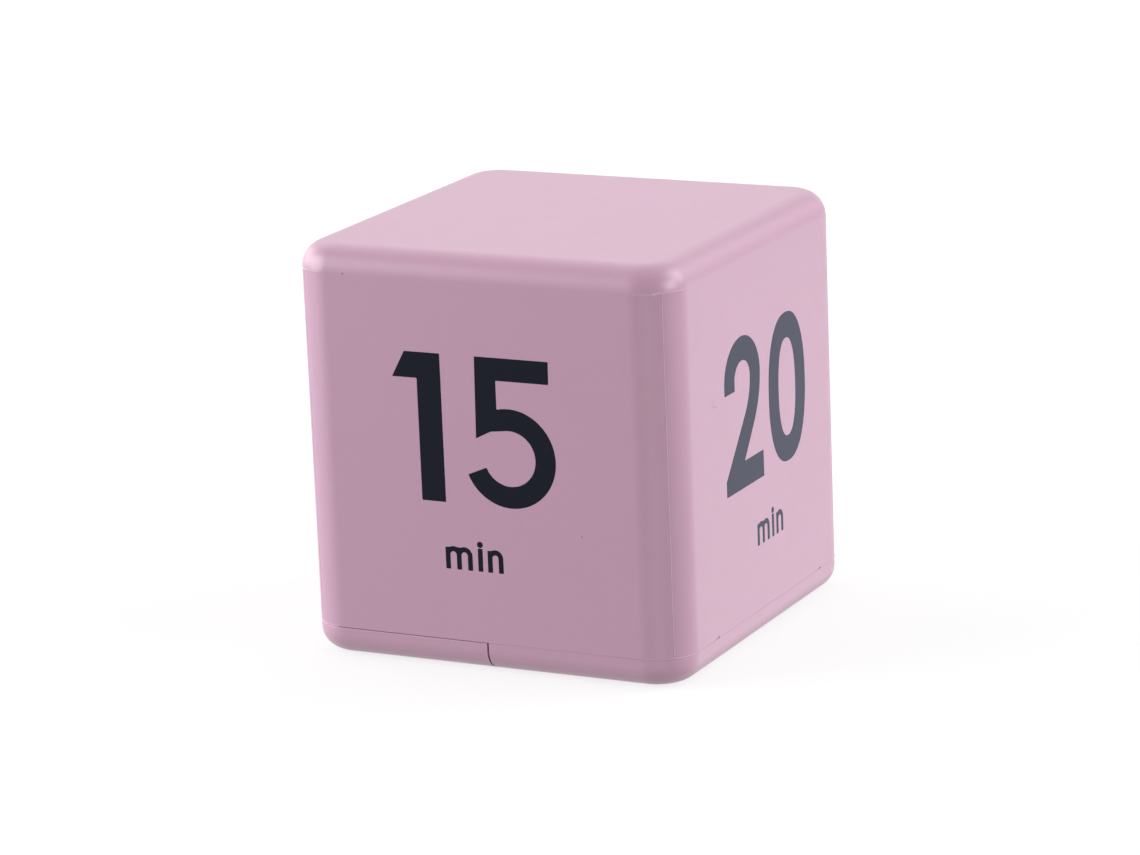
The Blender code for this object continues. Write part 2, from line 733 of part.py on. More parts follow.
def knob_slot(top):
    """The slot that the knob travels in, from the well up to a height."""
    half_x = (KNOB_W + SWITCH_TRAVEL) / 2 + GAP
    half_y = KNOB_D / 2 + GAP
    return block(
        (PANEL_X - half_x, SWITCH_Y - half_y, 0), (PANEL_X + half_x, SWITCH_Y + half_y, top)
    )


def make_door():
    """Half of the cube's foot in one piece: it slides out sideways on two rails."""
    body = block((-HALF, -HALF, 0), (HALF, HALF, RIM_TOP), corner_r=CORNER_R, bottom_r=BOTTOM_R)
    base_side = block((DOOR_EDGE, -SIDE, -OVERRUN), (SIDE, SIDE, SEAM_Z))
    hollow = block(
        (-CAVITY_HALF, -CAVITY_HALF, DOOR_FLOOR), (SIDE, CAVITY_HALF, SEAM_Z), corner_r=CORNER_R - WALL
    )
    carve(body, cuts=[base_side, hollow])
    joins = []
    for side in (-1, 1):
        rail_y = sorted((side * (CAVITY_HALF - RAIL_DEPTH), side * (CAVITY_HALF + BITE)))
        joins.append(
            block((RAIL_SETBACK - HALF, rail_y[0], RAIL_Z), (RAIL_END - GAP, rail_y[1], RAIL_Z + RAIL_H))
        )
        y = side * TONGUE_Y
        joins.append(
            block(
                (DOOR_EDGE - BITE, y - TONGUE_W / 2, DOOR_FLOOR - TONGUE_T),
                (BASE_EDGE + TONGUE_L - GAP, y + TONGUE_W / 2, DOOR_FLOOR - BITE),
            )
        )
    grips = []
    for n in range(GRIP_COUNT):
        x = GRIP_INSET - HALF + n * GRIP_PITCH
        grips.append(
            block(
                (x - GRIP_W / 2, -GRIP_L / 2, -OVERRUN), (x + GRIP_W / 2, GRIP_L / 2, GRIP_DEPTH), GRIP_R
            )
        )
    carve(body, joins=joins, cuts=grips)
    body.data.transform(Matrix.Translation((-DOOR_EDGE, 0, 0)))
    return piece("battery_door", body, PINK, DOOR_SLIDE)


def screw(head_r, head_h, shank_r, shank_l):
    """A pan-head tapping screw, head up, its shank down from z = 0 to a point."""
    crown, point = head_r * 0.75, shank_r * 1.5
    profile = [(0, head_h), (crown, head_h), (head_r, head_h / 2), (head_r, 0), (shank_r, 0)]
    profile += [(shank_r, point - shank_l), (0, -shank_l)]
    body = turned(profile, SCREW_SIDES)
    reach, width = head_r * 0.6, head_r * 0.13
    slots = [
        block((-reach, -width, head_h / 2), (reach, width, head_h + OVERRUN)),
        block((-width, -reach, head_h / 2), (width, reach, head_h + OVERRUN)),
    ]
    return carve(body, cuts=[carve(slots[0], joins=[slots[1]])])


def make_screws():
    head_z = BAY_TOP + COUNTERBORE - GAP
    upside_down = (math.radians(180), 0, 0)
    for n, side in enumerate((-1, 1), 1):
        body = screw(CASE_HEAD_R, CASE_HEAD_H, CASE_SHANK_R, CASE_SHANK_L)
        place = (BAY_X, side * CASE_SCREW_Y, head_z)
        piece(f"case_screw_{n}", body, STEEL, CUBE, place, upside_down)
    for n, (x, y) in enumerate(PCB_SCREWS, 1):
        body = screw(PCB_HEAD_R, PCB_HEAD_H, PCB_SHANK_R, PCB_SHANK_L)
        piece(f"board_screw_{n}", body, STEEL, CUBE, (x, y, PART_FOOT))


# Contacts at the ends of the bay
PLATE_W = 0.0080
PLATE_H = 0.0090
PLATE_Z = 0.0030
DIMPLE_R = 0.0022
SPRING_R = 0.0031
SPRING_TIP_R = 0.0021
SPRING_WIRE = 0.0003
SPRING_TURNS = 3.5
SPRING_TURN_POINTS = 12


def make_cells():
    """Two AAA cells. The left one's head points to the front, the other one's to the back."""
    edge = NUB_H / 3
    profile = [(0, CELL_LENGTH), (NUB_R, CELL_LENGTH), (NUB_R, CELL_BODY), (CELL_R - edge, CELL_BODY)]
    profile += [(CELL_R, CELL_BODY - edge), (CELL_R, edge), (CELL_R - edge, 0), (0, 0)]
    foot_y = BAY_HALF_Y - 2 * GAP - PLATE_T - SPRING_L
    for n, (x, towards) in enumerate(zip(CELL_X, (-1, 1)), 1):
        turn = (math.radians(-90 * towards), 0, 0)
        body = turned(profile)
        piece(f"battery_cell_{n}", body, SLEEVE, CUBE, (x, -towards * foot_y, CELL_Z), turn)


def helix():
    """Points of a contact spring that rises from z = 0 and narrows towards the cell."""
    count = round(SPRING_TURNS * SPRING_TURN_POINTS)
    points = []
    for step in range(count + 1):
        share = step / count
        radius = SPRING_R + (SPRING_TIP_R - SPRING_R) * share
        angle = math.tau * SPRING_TURNS * share
        height = (SPRING_L - SPRING_WIRE) * share
        points.append(Vector((radius * math.cos(angle), radius * math.sin(angle), height)))
    return points


def least_gap(points, radius, neighbours):
    """The least clear space between turns of a wound tube."""
    count = len(points)
    pairs = [(a, b) for a in range(count) for b in range(a + neighbours, count)]
    return min((points[a] - points[b]).length for a, b in pairs) - 2 * radius


def contact_plate(low_x, high_x):
    """A flat contact standing in the XZ plane, its cell side at y = 0."""
    return block((low_x, -PLATE_T, 0), (high_x, 0, PLATE_H))


def contact_spring(x):
    body = tube(helix(), SPRING_WIRE)
    upright = Matrix.Rotation(math.radians(-90), 4, "X")
    body.data.transform(Matrix.Translation((x, -BITE, CELL_Z - PLATE_Z)) @ upright)
    return body


def contact_dimple(x):
    """The pressed bump that meets a cell's head. It stays a gap short of it."""
    middle = CELL_Z - PLATE_Z
    return rod(DIMPLE_R, (x, -PLATE_T / 2, middle), (x, GAP / 2, middle), SMALL_SIDES)


def solder_tab():
    top = ROOF_TOP + TAB_RISE - PLATE_Z
    return block((-TAB_W / 2, -PLATE_T, PLATE_H - BITE), (TAB_W / 2, 0, top))


def make_contacts():
    """Positive and negative tabs at the front of the bay, and the link between cells at the back."""
    print(f"contact spring: least gap {least_gap(helix(), SPRING_WIRE, 6) * 1000:.2f} mm")
    front = -BAY_HALF_Y + GAP + PLATE_T
    half = PLATE_W / 2
    body = carve(contact_plate(-half, half), joins=[contact_dimple(0), solder_tab()])
    piece("positive_contact", body, STEEL, CUBE, (CELL_X[0], front, PLATE_Z))
    body = carve(contact_plate(-half, half), joins=[contact_spring(0), solder_tab()])
    piece("negative_contact", body, STEEL, CUBE, (CELL_X[1], front, PLATE_Z))
    span = CELL_X[1] - CELL_X[0]
    body = contact_plate(-span / 2 - half, span / 2 + half)
    carve(body, joins=[contact_dimple(-span / 2), contact_spring(span / 2)])
    half_turn = (0, 0, math.radians(180))
    piece("link_contact", body, STEEL, CUBE, (BAY_X, -front, PLATE_Z), half_turn)


def make_display():
    """Window, glass, holder and rubber contact strip, from the outside in."""
    window = block(
        (-WINDOW_W / 2, -WINDOW_L / 2, 0), (WINDOW_W / 2, WINDOW_L / 2, WINDOW_T), corner_r=WINDOW_R - GAP
    )
    piece("display_window", window, CLEAR, CUBE, (PANEL_X, LCD_Y, GAP))

    half_w, half_l = LCD_W / 2, LCD_L / 2
    front_pane = block((-half_w, -half_l, 0), (half_w, half_l, PANE_T))
    back_pane = block(
        (LEDGE_W - half_w, -half_l + BITE, PANE_T - BITE), (half_w - BITE, half_l - BITE, 2 * PANE_T)
    )
    glass = carve(front_pane, joins=[back_pane])
    piece("display_glass", glass, GLASS, CUBE, (PANEL_X, LCD_Y, LCD_Z))

    half_w, half_l = half_w + GAP, half_l + GAP
    height = MOUNT_TOP - LCD_Z
    holder = block(
        (-half_w - HOLDER_WALL, -half_l - HOLDER_WALL, 0),
        (half_w + HOLDER_WALL, half_l + HOLDER_WALL, height),
    )
    opening = block((-half_w, -half_l, -OVERRUN), (half_w, half_l, height + OVERRUN))
    piece("display_holder", carve(holder, cuts=[opening]), WHITE, CUBE, (PANEL_X, LCD_Y, LCD_Z))

    strip_z = LCD_Z + PANE_T + GAP
    strip = block((-STRIP_W / 2, -STRIP_L / 2, 0), (STRIP_W / 2, STRIP_L / 2, MOUNT_TOP - strip_z))
    strip_x = PANEL_X - LCD_W / 2 + (LEDGE_W - GAP) / 2
    piece("contact_strip", strip, RUBBER, CUBE, (strip_x, LCD_Y, strip_z))


def make_switch():
    """A three-position slide switch: off, low and high. Its knob stands in a well of the base."""
    top = MOUNT_TOP - SWITCH_Z
    half_w, half_d = SWITCH_W / 2, SWITCH_D / 2
    frame = block((-half_w, -half_d, 0), (half_w, half_d, top))
    sheet = SWITCH_SHEET
    room = block((sheet - half_w, sheet - half_d, sheet), (half_w - sheet, half_d - sheet, top + OVERRUN))
    slot_x = (KNOB_W + SWITCH_TRAVEL) / 2 + GAP
    slot_y = KNOB_D / 2 + GAP
    slot = block((-slot_x, -slot_y, -OVERRUN), (slot_x, slot_y, sheet + OVERRUN))
    carve(frame, cuts=[room, slot])
    piece("switch_frame", frame, STEEL, CUBE, (PANEL_X, SWITCH_Y, SWITCH_Z))

    room_x, room_y = half_w - sheet - GAP, half_d - sheet - GAP
    terminals = block((-room_x, -room_y, 0), (room_x, room_y, TERMINAL_T))
    place = (PANEL_X, SWITCH_Y, MOUNT_TOP - BITE - TERMINAL_T)
    piece("switch_terminals", terminals, RESIN, CUBE, place)

    off_x = PANEL_X - SWITCH_TRAVEL / 2
    slide = hub("switch_slide", (off_x, SWITCH_Y, 0), CUBE)
    wafer_z = SWITCH_Z + SWITCH_SHEET + GAP
    wafer = block((-WAFER_W / 2, -room_y, wafer_z), (WAFER_W / 2, room_y, wafer_z + WAFER_T))
    knob = block((-KNOB_W / 2, -KNOB_D / 2, KNOB_TIP), (KNOB_W / 2, KNOB_D / 2, wafer_z + BITE))
    grooves = [
        block((x - KNOB_GROOVE / 2, -KNOB_D, 0), (x + KNOB_GROOVE / 2, KNOB_D, KNOB_TIP + KNOB_GROOVE))
        for x in (-KNOB_W / 4, 0, KNOB_W / 4)
    ]
    carve(wafer, joins=[knob], cuts=grooves)
    piece("switch_knob", wafer, BLACK, slide)


# Parts on the board. Each place is a pair of shares of the board's half width and half length.
CHIP_R = 0.0045
CHIP_H = 0.0016
CHIP_STEPS = 4
CRYSTAL_R = 0.0010
CRYSTAL_L = 0.0060
COIL_R = 0.0040
COIL_NECK_R = 0.0032
COIL_FLANGE = 0.0011
COIL_H = 0.0070
CAPACITOR_R = 0.0025
CAPACITOR_H = 0.0065
CAPACITOR_RIM = 0.0003
TRANSISTOR_R = 0.0024
TRANSISTOR_H = 0.0045
CHIP_SHARES = (0, 0)
CRYSTAL_SHARES = (-0.67, 0.16)
COIL_SHARES = (0.59, -0.34)
CAPACITOR_SHARES = (-0.46, -0.45)
TRANSISTOR_SHARES = (0.04, -0.40)


def on_board(place_shares, z=PART_FOOT):
    return (PANEL_X + place_shares[0] * BOARD_HALF_X, place_shares[1] * BOARD_HALF_Y, z)


def make_board():
    """The board and what is soldered to its upper side."""
    body = block(
        (-BOARD_HALF_X, -BOARD_HALF_Y, 0), (BOARD_HALF_X, BOARD_HALF_Y, BOARD_T), corner_r=BOARD_R
    )
    holes = [
        rod(PCB_HOLE_R, (x - PANEL_X, y, -OVERRUN), (x - PANEL_X, y, BOARD_T + OVERRUN), SMALL_SIDES)
        for x, y in PCB_SCREWS
    ]
    piece("circuit_board", carve(body, cuts=holes), BOARD, CUBE, (PANEL_X, 0, BOARD_Z))

    quarter = [math.radians(90) * step / CHIP_STEPS for step in range(CHIP_STEPS + 1)]
    dome = [(CHIP_R * math.cos(a), CHIP_H * math.sin(a)) for a in quarter[:-1]] + [(0, CHIP_H)]
    piece("chip_resin", turned([(0, 0), *dome]), RESIN, CUBE, on_board(CHIP_SHARES))

    crystal = rod(CRYSTAL_R, (0, 0, CRYSTAL_R), (0, CRYSTAL_L, CRYSTAL_R), SMALL_SIDES)
    piece("crystal", crystal, STEEL, CUBE, on_board(CRYSTAL_SHARES))

    waist = [(COIL_R, COIL_FLANGE), (COIL_NECK_R, COIL_FLANGE)]
    collar = [(COIL_NECK_R, COIL_H - COIL_FLANGE), (COIL_R, COIL_H - COIL_FLANGE)]
    coil = turned([(0, 0), (COIL_R, 0), *waist, *collar, (COIL_R, COIL_H), (0, COIL_H)])
    piece("boost_coil", coil, FERRITE, CUBE, on_board(COIL_SHARES))

    rim = CAPACITOR_RIM
    can = [(0, 0), (CAPACITOR_R, 0), (CAPACITOR_R, CAPACITOR_H - rim)]
    can += [(CAPACITOR_R - rim, CAPACITOR_H), (CAPACITOR_R - 2 * rim, CAPACITOR_H)]
    can += [(CAPACITOR_R - 3 * rim, CAPACITOR_H - rim), (0, CAPACITOR_H - rim)]
    piece("capacitor", turned(can), BLACK, CUBE, on_board(CAPACITOR_SHARES))

    flat = TRANSISTOR_R * 0.5
    body = rod(TRANSISTOR_R, (0, 0, 0), (0, 0, TRANSISTOR_H))
    face = block((-SIDE, -SIDE, -OVERRUN), (SIDE, -flat, TRANSISTOR_H + OVERRUN))
    piece("transistor", carve(body, cuts=[face]), RESIN, CUBE, on_board(TRANSISTOR_SHARES))


# Tilt switches: a ball in each can rolls onto its pins when the can's outer end points down
CAN_R = 0.0025
CAN_L = 0.0095
CAN_WALL = 0.0004
BALL_R = 0.0017
PLUG_OUT = 0.0005
LEAD_R = 0.0003
LEAD_SPREAD = 0.0009
LEAD_OUT = 0.0008
BALL_TRAVEL = 0.0020
RISE = math.radians(10)
CAN_IN = CAN_R - CAN_WALL
TILT_Z = PART_FOOT + CAN_R * math.cos(RISE) + CAN_L / 2 * math.sin(RISE)
TILT_SHARES = {"front": (0.78, 0.61), "right": (-0.48, 0.76), "back": (0.31, 0.47), "left": (-0.36, 0.5)}
TILT_HEADINGS = {"front": -90, "right": 0, "back": 90, "left": 180}


def make_tilt_switches():
    """Four ball switches, one aimed at each numbered face and raised a little at its outer end."""
    half = CAN_L / 2
    back = -half + CAN_WALL + GAP
    stop = back + 2 * BALL_R + BALL_TRAVEL + GAP
    for name, heading in TILT_HEADINGS.items():
        at = on_board(TILT_SHARES[name], TILT_Z)
        turn = (0, -RISE, math.radians(heading))
        can = rod(CAN_R, (-half, 0, 0), (half, 0, 0))
        room = rod(CAN_IN, (-half + CAN_WALL, 0, 0), (half + OVERRUN, 0, 0))
        piece(f"tilt_can_{name}", carve(can, cuts=[room]), STEEL, CUBE, at, turn)

        plug = rod(CAN_IN - GAP, (stop, 0, 0), (half + PLUG_OUT, 0, 0))
        lead_x = half + PLUG_OUT + LEAD_OUT
        drop = (TILT_Z + lead_x * math.sin(RISE) - PART_FOOT) / math.cos(RISE) - LEAD_R
        leads = []
        for side in (-1, 1):
            y = side * LEAD_SPREAD
            bent = [(half, y, 0), (lead_x, y, 0), (lead_x, y, -drop)]
            leads.append(tube(flowing(bent, 4), LEAD_R))
        piece(f"tilt_plug_{name}", carve(plug, joins=leads), RESIN, CUBE, at, turn)

        track = hub(f"tilt_track_{name}", at, CUBE)
        track.rotation_euler = turn
        shape = bmesh.new()
        bmesh.ops.create_uvsphere(
            shape, u_segments=SMALL_SIDES, v_segments=SMALL_SIDES // 2, radius=BALL_R
        )
        piece(f"tilt_ball_{name}", object_of(shape), STEEL, track, (back + BALL_R, 0, 0))


# Buzzer: a thin brass disc with a ceramic layer, on the ledge of a cup on the bay's roof
BUZZER_T = 0.0004
LAYER_R = 0.0085
LAYER_T = 0.0003
CUP_FLOOR = 0.0010
CUP_HOLE_R = 0.0015
CUP_LEDGE = 0.0010
CUP_LEDGE_H = 0.0019
CUP_H = 0.0039
CUP_FOOT = ROOF_TOP + GAP
DISC_Z = CUP_FOOT + CUP_LEDGE_H + GAP
LAYER_Z = DISC_Z + BUZZER_T + GAP


def make_buzzer():
    outside, ledge = CUP_IN + CUP_WALL, CUP_IN - CUP_LEDGE
    profile = [(CUP_HOLE_R, 0), (outside, 0), (outside, CUP_H), (CUP_IN, CUP_H)]
    profile += [(CUP_IN, CUP_LEDGE_H), (ledge, CUP_LEDGE_H), (ledge, CUP_FLOOR), (CUP_HOLE_R, CUP_FLOOR)]
    piece("buzzer_cup", turned(profile), BLACK, CUBE, (BAY_X, 0, CUP_FOOT))
    disc = rod(BUZZER_R, (0, 0, 0), (0, 0, BUZZER_T))
    piece("buzzer_disc", disc, BRASS, CUBE, (BAY_X, 0, DISC_Z))
    layer = rod(LAYER_R, (0, 0, 0), (0, 0, LAYER_T))
    piece("buzzer_ceramic", layer, CERAMIC, CUBE, (BAY_X, 0, LAYER_Z))


# Lead wires, soldered at both ends
WIRE_R = 0.0005
WIRE_STEPS = 4
WIRE_ARCH = 0.0060
WIRE_STUB = 0.0015
PAD_X = 0.0052
PAD_Y = {"battery_red": -0.0165, "battery_black": -0.0200, "buzzer_red": -0.0030, "buzzer_black": -0.0060}


def lead(name, start, pad_y, material):
    """A wire that leaves a terminal upwards, arches over the bay's edge and drops to its pad."""
    start = Vector(start)
    end = Vector((PAD_X, pad_y, PART_FOOT))
    stub = Vector((0, 0, WIRE_STUB))
    top = start.z + WIRE_ARCH
    first = start.lerp(end, 0.3)
    last = start.lerp(end, 0.85)
    route = [start, start + stub, (first.x, first.y, top), (last.x, last.y, top - WIRE_STUB)]
    route += [(end.x, end.y, (top + end.z) / 2), end + stub, end]
    return piece(name, tube(flowing(route, WIRE_STEPS), WIRE_R, 2), material, CUBE)


def make_wires():
    tab_y = -BAY_HALF_Y + GAP + PLATE_T / 2
    tab_z = ROOF_TOP + TAB_RISE + GAP
    lead("battery_wire_red", (CELL_X[0], tab_y, tab_z), PAD_Y["battery_red"], RED_WIRE)
    lead("battery_wire_black", (CELL_X[1], tab_y, tab_z), PAD_Y["battery_black"], BLACK_WIRE)
    layer_top = LAYER_Z + LAYER_T + GAP
    joint_x = BAY_X + LAYER_R / 2
    lead("buzzer_wire_red", (joint_x, 0, layer_top), PAD_Y["buzzer_red"], RED_WIRE)
    rim = (LAYER_R + BUZZER_R) / 2
    slant = math.radians(-35)
    rim_x, rim_y = BAY_X + rim * math.cos(slant), rim * math.sin(slant)
    disc_top = DISC_Z + BUZZER_T + GAP
    lead("buzzer_wire_black", (rim_x, rim_y, disc_top), PAD_Y["buzzer_black"], BLACK_WIRE)


make_shell()
make_base()
make_door()
make_screws()
make_cells()
make_contacts()
make_display()
make_switch()
make_board()
make_tilt_switches()
make_buzzer()
make_wires()
bpy.context.view_layer.update()
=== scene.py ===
import math

import bmesh
import bpy
from mathutils import Matrix, Vector


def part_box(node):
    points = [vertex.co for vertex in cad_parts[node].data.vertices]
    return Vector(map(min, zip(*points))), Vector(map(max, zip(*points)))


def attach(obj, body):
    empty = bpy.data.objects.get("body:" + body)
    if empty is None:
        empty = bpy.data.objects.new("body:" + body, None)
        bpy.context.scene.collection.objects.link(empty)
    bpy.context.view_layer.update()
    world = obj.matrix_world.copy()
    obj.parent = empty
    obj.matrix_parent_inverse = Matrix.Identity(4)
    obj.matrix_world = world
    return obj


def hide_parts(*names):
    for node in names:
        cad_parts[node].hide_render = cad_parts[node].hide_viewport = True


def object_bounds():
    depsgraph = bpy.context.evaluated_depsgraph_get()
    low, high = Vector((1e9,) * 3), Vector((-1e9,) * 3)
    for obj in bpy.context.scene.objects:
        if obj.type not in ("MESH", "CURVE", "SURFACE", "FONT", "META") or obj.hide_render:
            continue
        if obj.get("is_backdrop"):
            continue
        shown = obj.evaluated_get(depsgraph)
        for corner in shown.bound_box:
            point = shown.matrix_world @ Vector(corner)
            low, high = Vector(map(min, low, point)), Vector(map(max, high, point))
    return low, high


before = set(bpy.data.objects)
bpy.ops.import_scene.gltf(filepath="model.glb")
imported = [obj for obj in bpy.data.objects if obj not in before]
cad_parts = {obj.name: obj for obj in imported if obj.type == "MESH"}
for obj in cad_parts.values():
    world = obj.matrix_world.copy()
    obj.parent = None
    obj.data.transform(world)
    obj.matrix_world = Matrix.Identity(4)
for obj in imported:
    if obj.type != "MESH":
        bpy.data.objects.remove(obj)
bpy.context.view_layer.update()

# Case shell: the top and the four numbered walls of the cube in one satin pink ABS moulding, open below.
# The mould's four side slides leave a fine line up and round each rounded corner, and a little flash at its
# ends. Two pillars inside take the case screws, and two catches hold the base's hooks.
MM = 0.001
MICRON = 0.000001
OVERRUN = 1 * MM
BITE = 0.2 * MM
SLIVER = 0.1 * MICRON
CORNER_R = 6.7 * MM
TOP_R = 4.0 * MM
WALL = 2.0 * MM
FOOT_EDGE_R = 0.03 * MM
RIDGE_R = 0.2 * MM
RIDGE_RISE = 0.06 * MM
RIDGE_SPAN = (8, 82)
RIDGE_STEPS = 48
FLASH_R = 0.2 * MM
FLASH_RISE = 0.15 * MM
FLASH = [(34, -0.08 * MM), (36.5, -0.02 * MM), (39, 0.06 * MM), (41.5, 0.16 * MM)]
PIT_R = 0.16 * MM
PIT_DEPTH = 0.15 * MM
PITS = [(-22.05 * MM, 60.3 * MM), (16.3 * MM, 22.8 * MM)]
NICKS = (-18.4 * MM, 20.2 * MM)
NICK_HALF = 0.6 * MM
SCUFF = [(-17.0, 41.55), (-17.6, 41.2), (-17.95, 40.8), (-17.85, 40.4), (-17.3, 40.2), (-16.4, 40.15)]
SCUFF_DEPTH = 0.06 * MM
DENT_R = 9.0 * MM
DENT_DEPTH = 0.025 * MM
DENT = (9.35 * MM, 7.9 * MM)
PILLAR_R = 3.0 * MM
PILLAR_FOOT = 16.6 * MM
PILLAR_HOLE = 12.0 * MM
SCREW_HOLE_R = 1.6 * MM
RIB_T = 1.2 * MM
RIB_Z = 40.0 * MM
CATCH_T = 1.0 * MM
CATCH_W = 8.0 * MM
CATCH_H = 1.5 * MM
CATCH_Z = 8.5 * MM
HOOK_Y = 12.0 * MM
FINE_STEPS = (24, 14)
PLAIN_STEPS = (8, 5)
SMOOTH_ANGLE = math.radians(32)

shell_low, shell_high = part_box("case_shell")
screw_low, screw_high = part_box("case_screw_2")
HALF = shell_high.x
TOP = shell_high.z
SHELL_FOOT = shell_low.z
CORNER_AXIS = HALF - CORNER_R
LEDGE_Z = TOP - TOP_R
CAVITY_HALF = HALF - WALL
CEILING = TOP - WALL
BAY_X = (screw_low.x + screw_high.x) / 2
SCREW_Y = (screw_low.y + screw_high.y) / 2


def solid(shape, name="tool"):
    """Makes an object of a bmesh, with its faces pointing out."""
    bmesh.ops.recalc_face_normals(shape, faces=shape.faces)
    mesh = bpy.data.meshes.new(name)
    shape.to_mesh(mesh)
    shape.free()
    made = bpy.data.objects.new(name, mesh)
    bpy.context.scene.collection.objects.link(made)
    return made


def rounded(shape, edges, radius, steps):
    """Rounds edges of a bmesh."""
    plainly = {"profile": 0.5, "affect": "EDGES", "clamp_overlap": False, "material": -1}
    bmesh.ops.bevel(shape, geom=edges, offset=radius, segments=steps, **plainly)


def block(low, high, corner_r=0, top_r=0, bottom_r=0, steps=PLAIN_STEPS):
    """A box between two corners, with its upright edges and its top and bottom edges rounded."""
    low, high = Vector(low), Vector(high)
    shape = bmesh.new()
    bmesh.ops.create_cube(shape, size=1)
    bmesh.ops.scale(shape, vec=high - low, verts=shape.verts)
    bmesh.ops.translate(shape, vec=(low + high) / 2, verts=shape.verts)
    middle = (low.z + high.z) / 2
    if corner_r:
        upright = [e for e in shape.edges if (e.verts[0].co.z > middle) != (e.verts[1].co.z > middle)]
        rounded(shape, upright, corner_r, steps[0])
    for radius, above in ((top_r, True), (bottom_r, False)):
        if radius:
            level = [e for e in shape.edges if all((v.co.z > middle) == above for v in e.verts)]
            rounded(shape, level, radius, steps[1])
    return solid(shape)


def slab(across, along, up, *rounds, **steps):
    """A block from its spans along X, Y and Z."""
    return block(*zip(across, along, up), *rounds, **steps)


def about(middle, half):
    """The span round a middle."""
    return middle - half, middle + half


def shift(x, y, z):
    """A move."""
    return Matrix.Translation((x, y, z))


def swing(degrees, axis):
    """A turn about an axis."""
    return Matrix.Rotation(math.radians(degrees), 4, axis)


def rod(radius, start, end, sides=32):
    """A round bar from one point to another."""
    start, end = Vector(start), Vector(end)
    along = end - start
    turn = along.to_track_quat("Z", "Y").to_matrix().to_4x4()
    shape = bmesh.new()
    bmesh.ops.create_cone(
        shape, cap_ends=True, segments=sides, radius1=radius, radius2=radius, depth=along.length
    )
    bmesh.ops.transform(shape, matrix=Matrix.Translation((start + end) / 2) @ turn, verts=shape.verts)
    return solid(shape)


def peg(radius, x, y, low, high, sides=32):
    """An upright round bar."""
    return rod(radius, (x, y, low), (x, y, high), sides)


def pebble(radius, centre, fineness=2):
    """A ball, for flash, pits and dents."""
    shape = bmesh.new()
    bmesh.ops.create_icosphere(shape, subdivisions=fineness, radius=radius)
    bmesh.ops.translate(shape, vec=centre, verts=shape.verts)
    return solid(shape)


def carve(body, joins=(), cuts=()):
    """Joins shapes to a body, then takes others away, and leaves one plain mesh without slivers."""
    for operation, tools in (("UNION", joins), ("DIFFERENCE", cuts)):
        for tool in tools:
            step = body.modifiers.new(operation, "BOOLEAN")
            step.operation = operation
            step.object = tool
    bpy.context.view_layer.update()
    graph = bpy.context.evaluated_depsgraph_get()
    shape = bmesh.new()
    shape.from_mesh(bpy.data.meshes.new_from_object(body.evaluated_get(graph)))
    bmesh.ops.remove_doubles(shape, verts=shape.verts, dist=SLIVER)
    bmesh.ops.dissolve_degenerate(shape, edges=shape.edges, dist=SLIVER)
    shape.to_mesh(body.data)
    shape.free()
    body.modifiers.clear()
    for tool in (*joins, *cuts):
        bpy.data.objects.remove(tool)
    return body


def dress(piece, name, material, node=None, body="case"):
    """Names a finished piece, smooths its shading, gives it its material and body, and hides the CAD node it
    stands for.
    """
    piece.name = name
    piece.data.name = name
    piece.data.materials.clear()
    piece.data.materials.append(material)
    piece.data.shade_smooth()
    piece.data.set_sharp_from_angle(angle=SMOOTH_ANGLE)
    even = piece.modifiers.new("even normals", "WEIGHTED_NORMAL")
    even.keep_sharp = True
    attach(piece, body)
    if node:
        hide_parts(node)


def linear(code):
    """An sRGB hex code as linear red, green, blue and alpha."""
    parts = [int(code[i : i + 2], 16) / 255 for i in (0, 2, 4)]
    return [c / 12.92 if c <= 0.04045 else ((c + 0.055) / 1.055) ** 2.4 for c in parts] + [1]


def add(tree, kind, sockets=None, **settings):
    """Adds a node, sets it up, and fills its sockets with values or with links from other sockets."""
    made = tree.nodes.new(kind)
    for name, value in settings.items():
        setattr(made, name, value)
    for socket, value in (sockets or {}).items():
        if isinstance(value, bpy.types.NodeSocket):
            tree.links.new(value, made.inputs[socket])
        else:
            made.inputs[socket].default_value = value
    return made


def surface(name, sockets):
    """A material with one Principled shader, its sockets set, and the Object coordinates to draw on."""
    made = bpy.data.materials.new(name)
    made.use_nodes = True
    tree = made.node_tree
    tree.nodes.clear()
    shader = add(tree, "ShaderNodeBsdfPrincipled", sockets)
    add(tree, "ShaderNodeOutputMaterial", {"Surface": shader.outputs["BSDF"]})
    place = add(tree, "ShaderNodeTexCoord").outputs["Object"]
    return made, tree, shader, place


def mottled(tree, shader, place, code, spread, size, rough, haze):
    """Lets the colour drift a little round its hex code, and the roughness between two values."""
    drift = add(tree, "ShaderNodeTexNoise", {"Vector": place, "Scale": 1 / size, "Detail": 3})
    dark, light = [[min(1, c * share) for c in linear(code)[:3]] + [1] for share in (1 - spread, 1 + spread)]
    ends = {"Factor": drift.outputs["Fac"], "A": dark, "B": light}
    blend = add(tree, "ShaderNodeMix", ends, data_type="RGBA")
    tree.links.new(blend.outputs["Result"], shader.inputs["Base Color"])
    cloud = add(tree, "ShaderNodeTexNoise", {"Vector": place, "Scale": 1 / haze, "Detail": 4})
    ends = {"Value": cloud.outputs["Fac"], "To Min": rough[0], "To Max": rough[1]}
    level = add(tree, "ShaderNodeMapRange", ends)
    tree.links.new(level.outputs["Result"], shader.inputs["Roughness"])


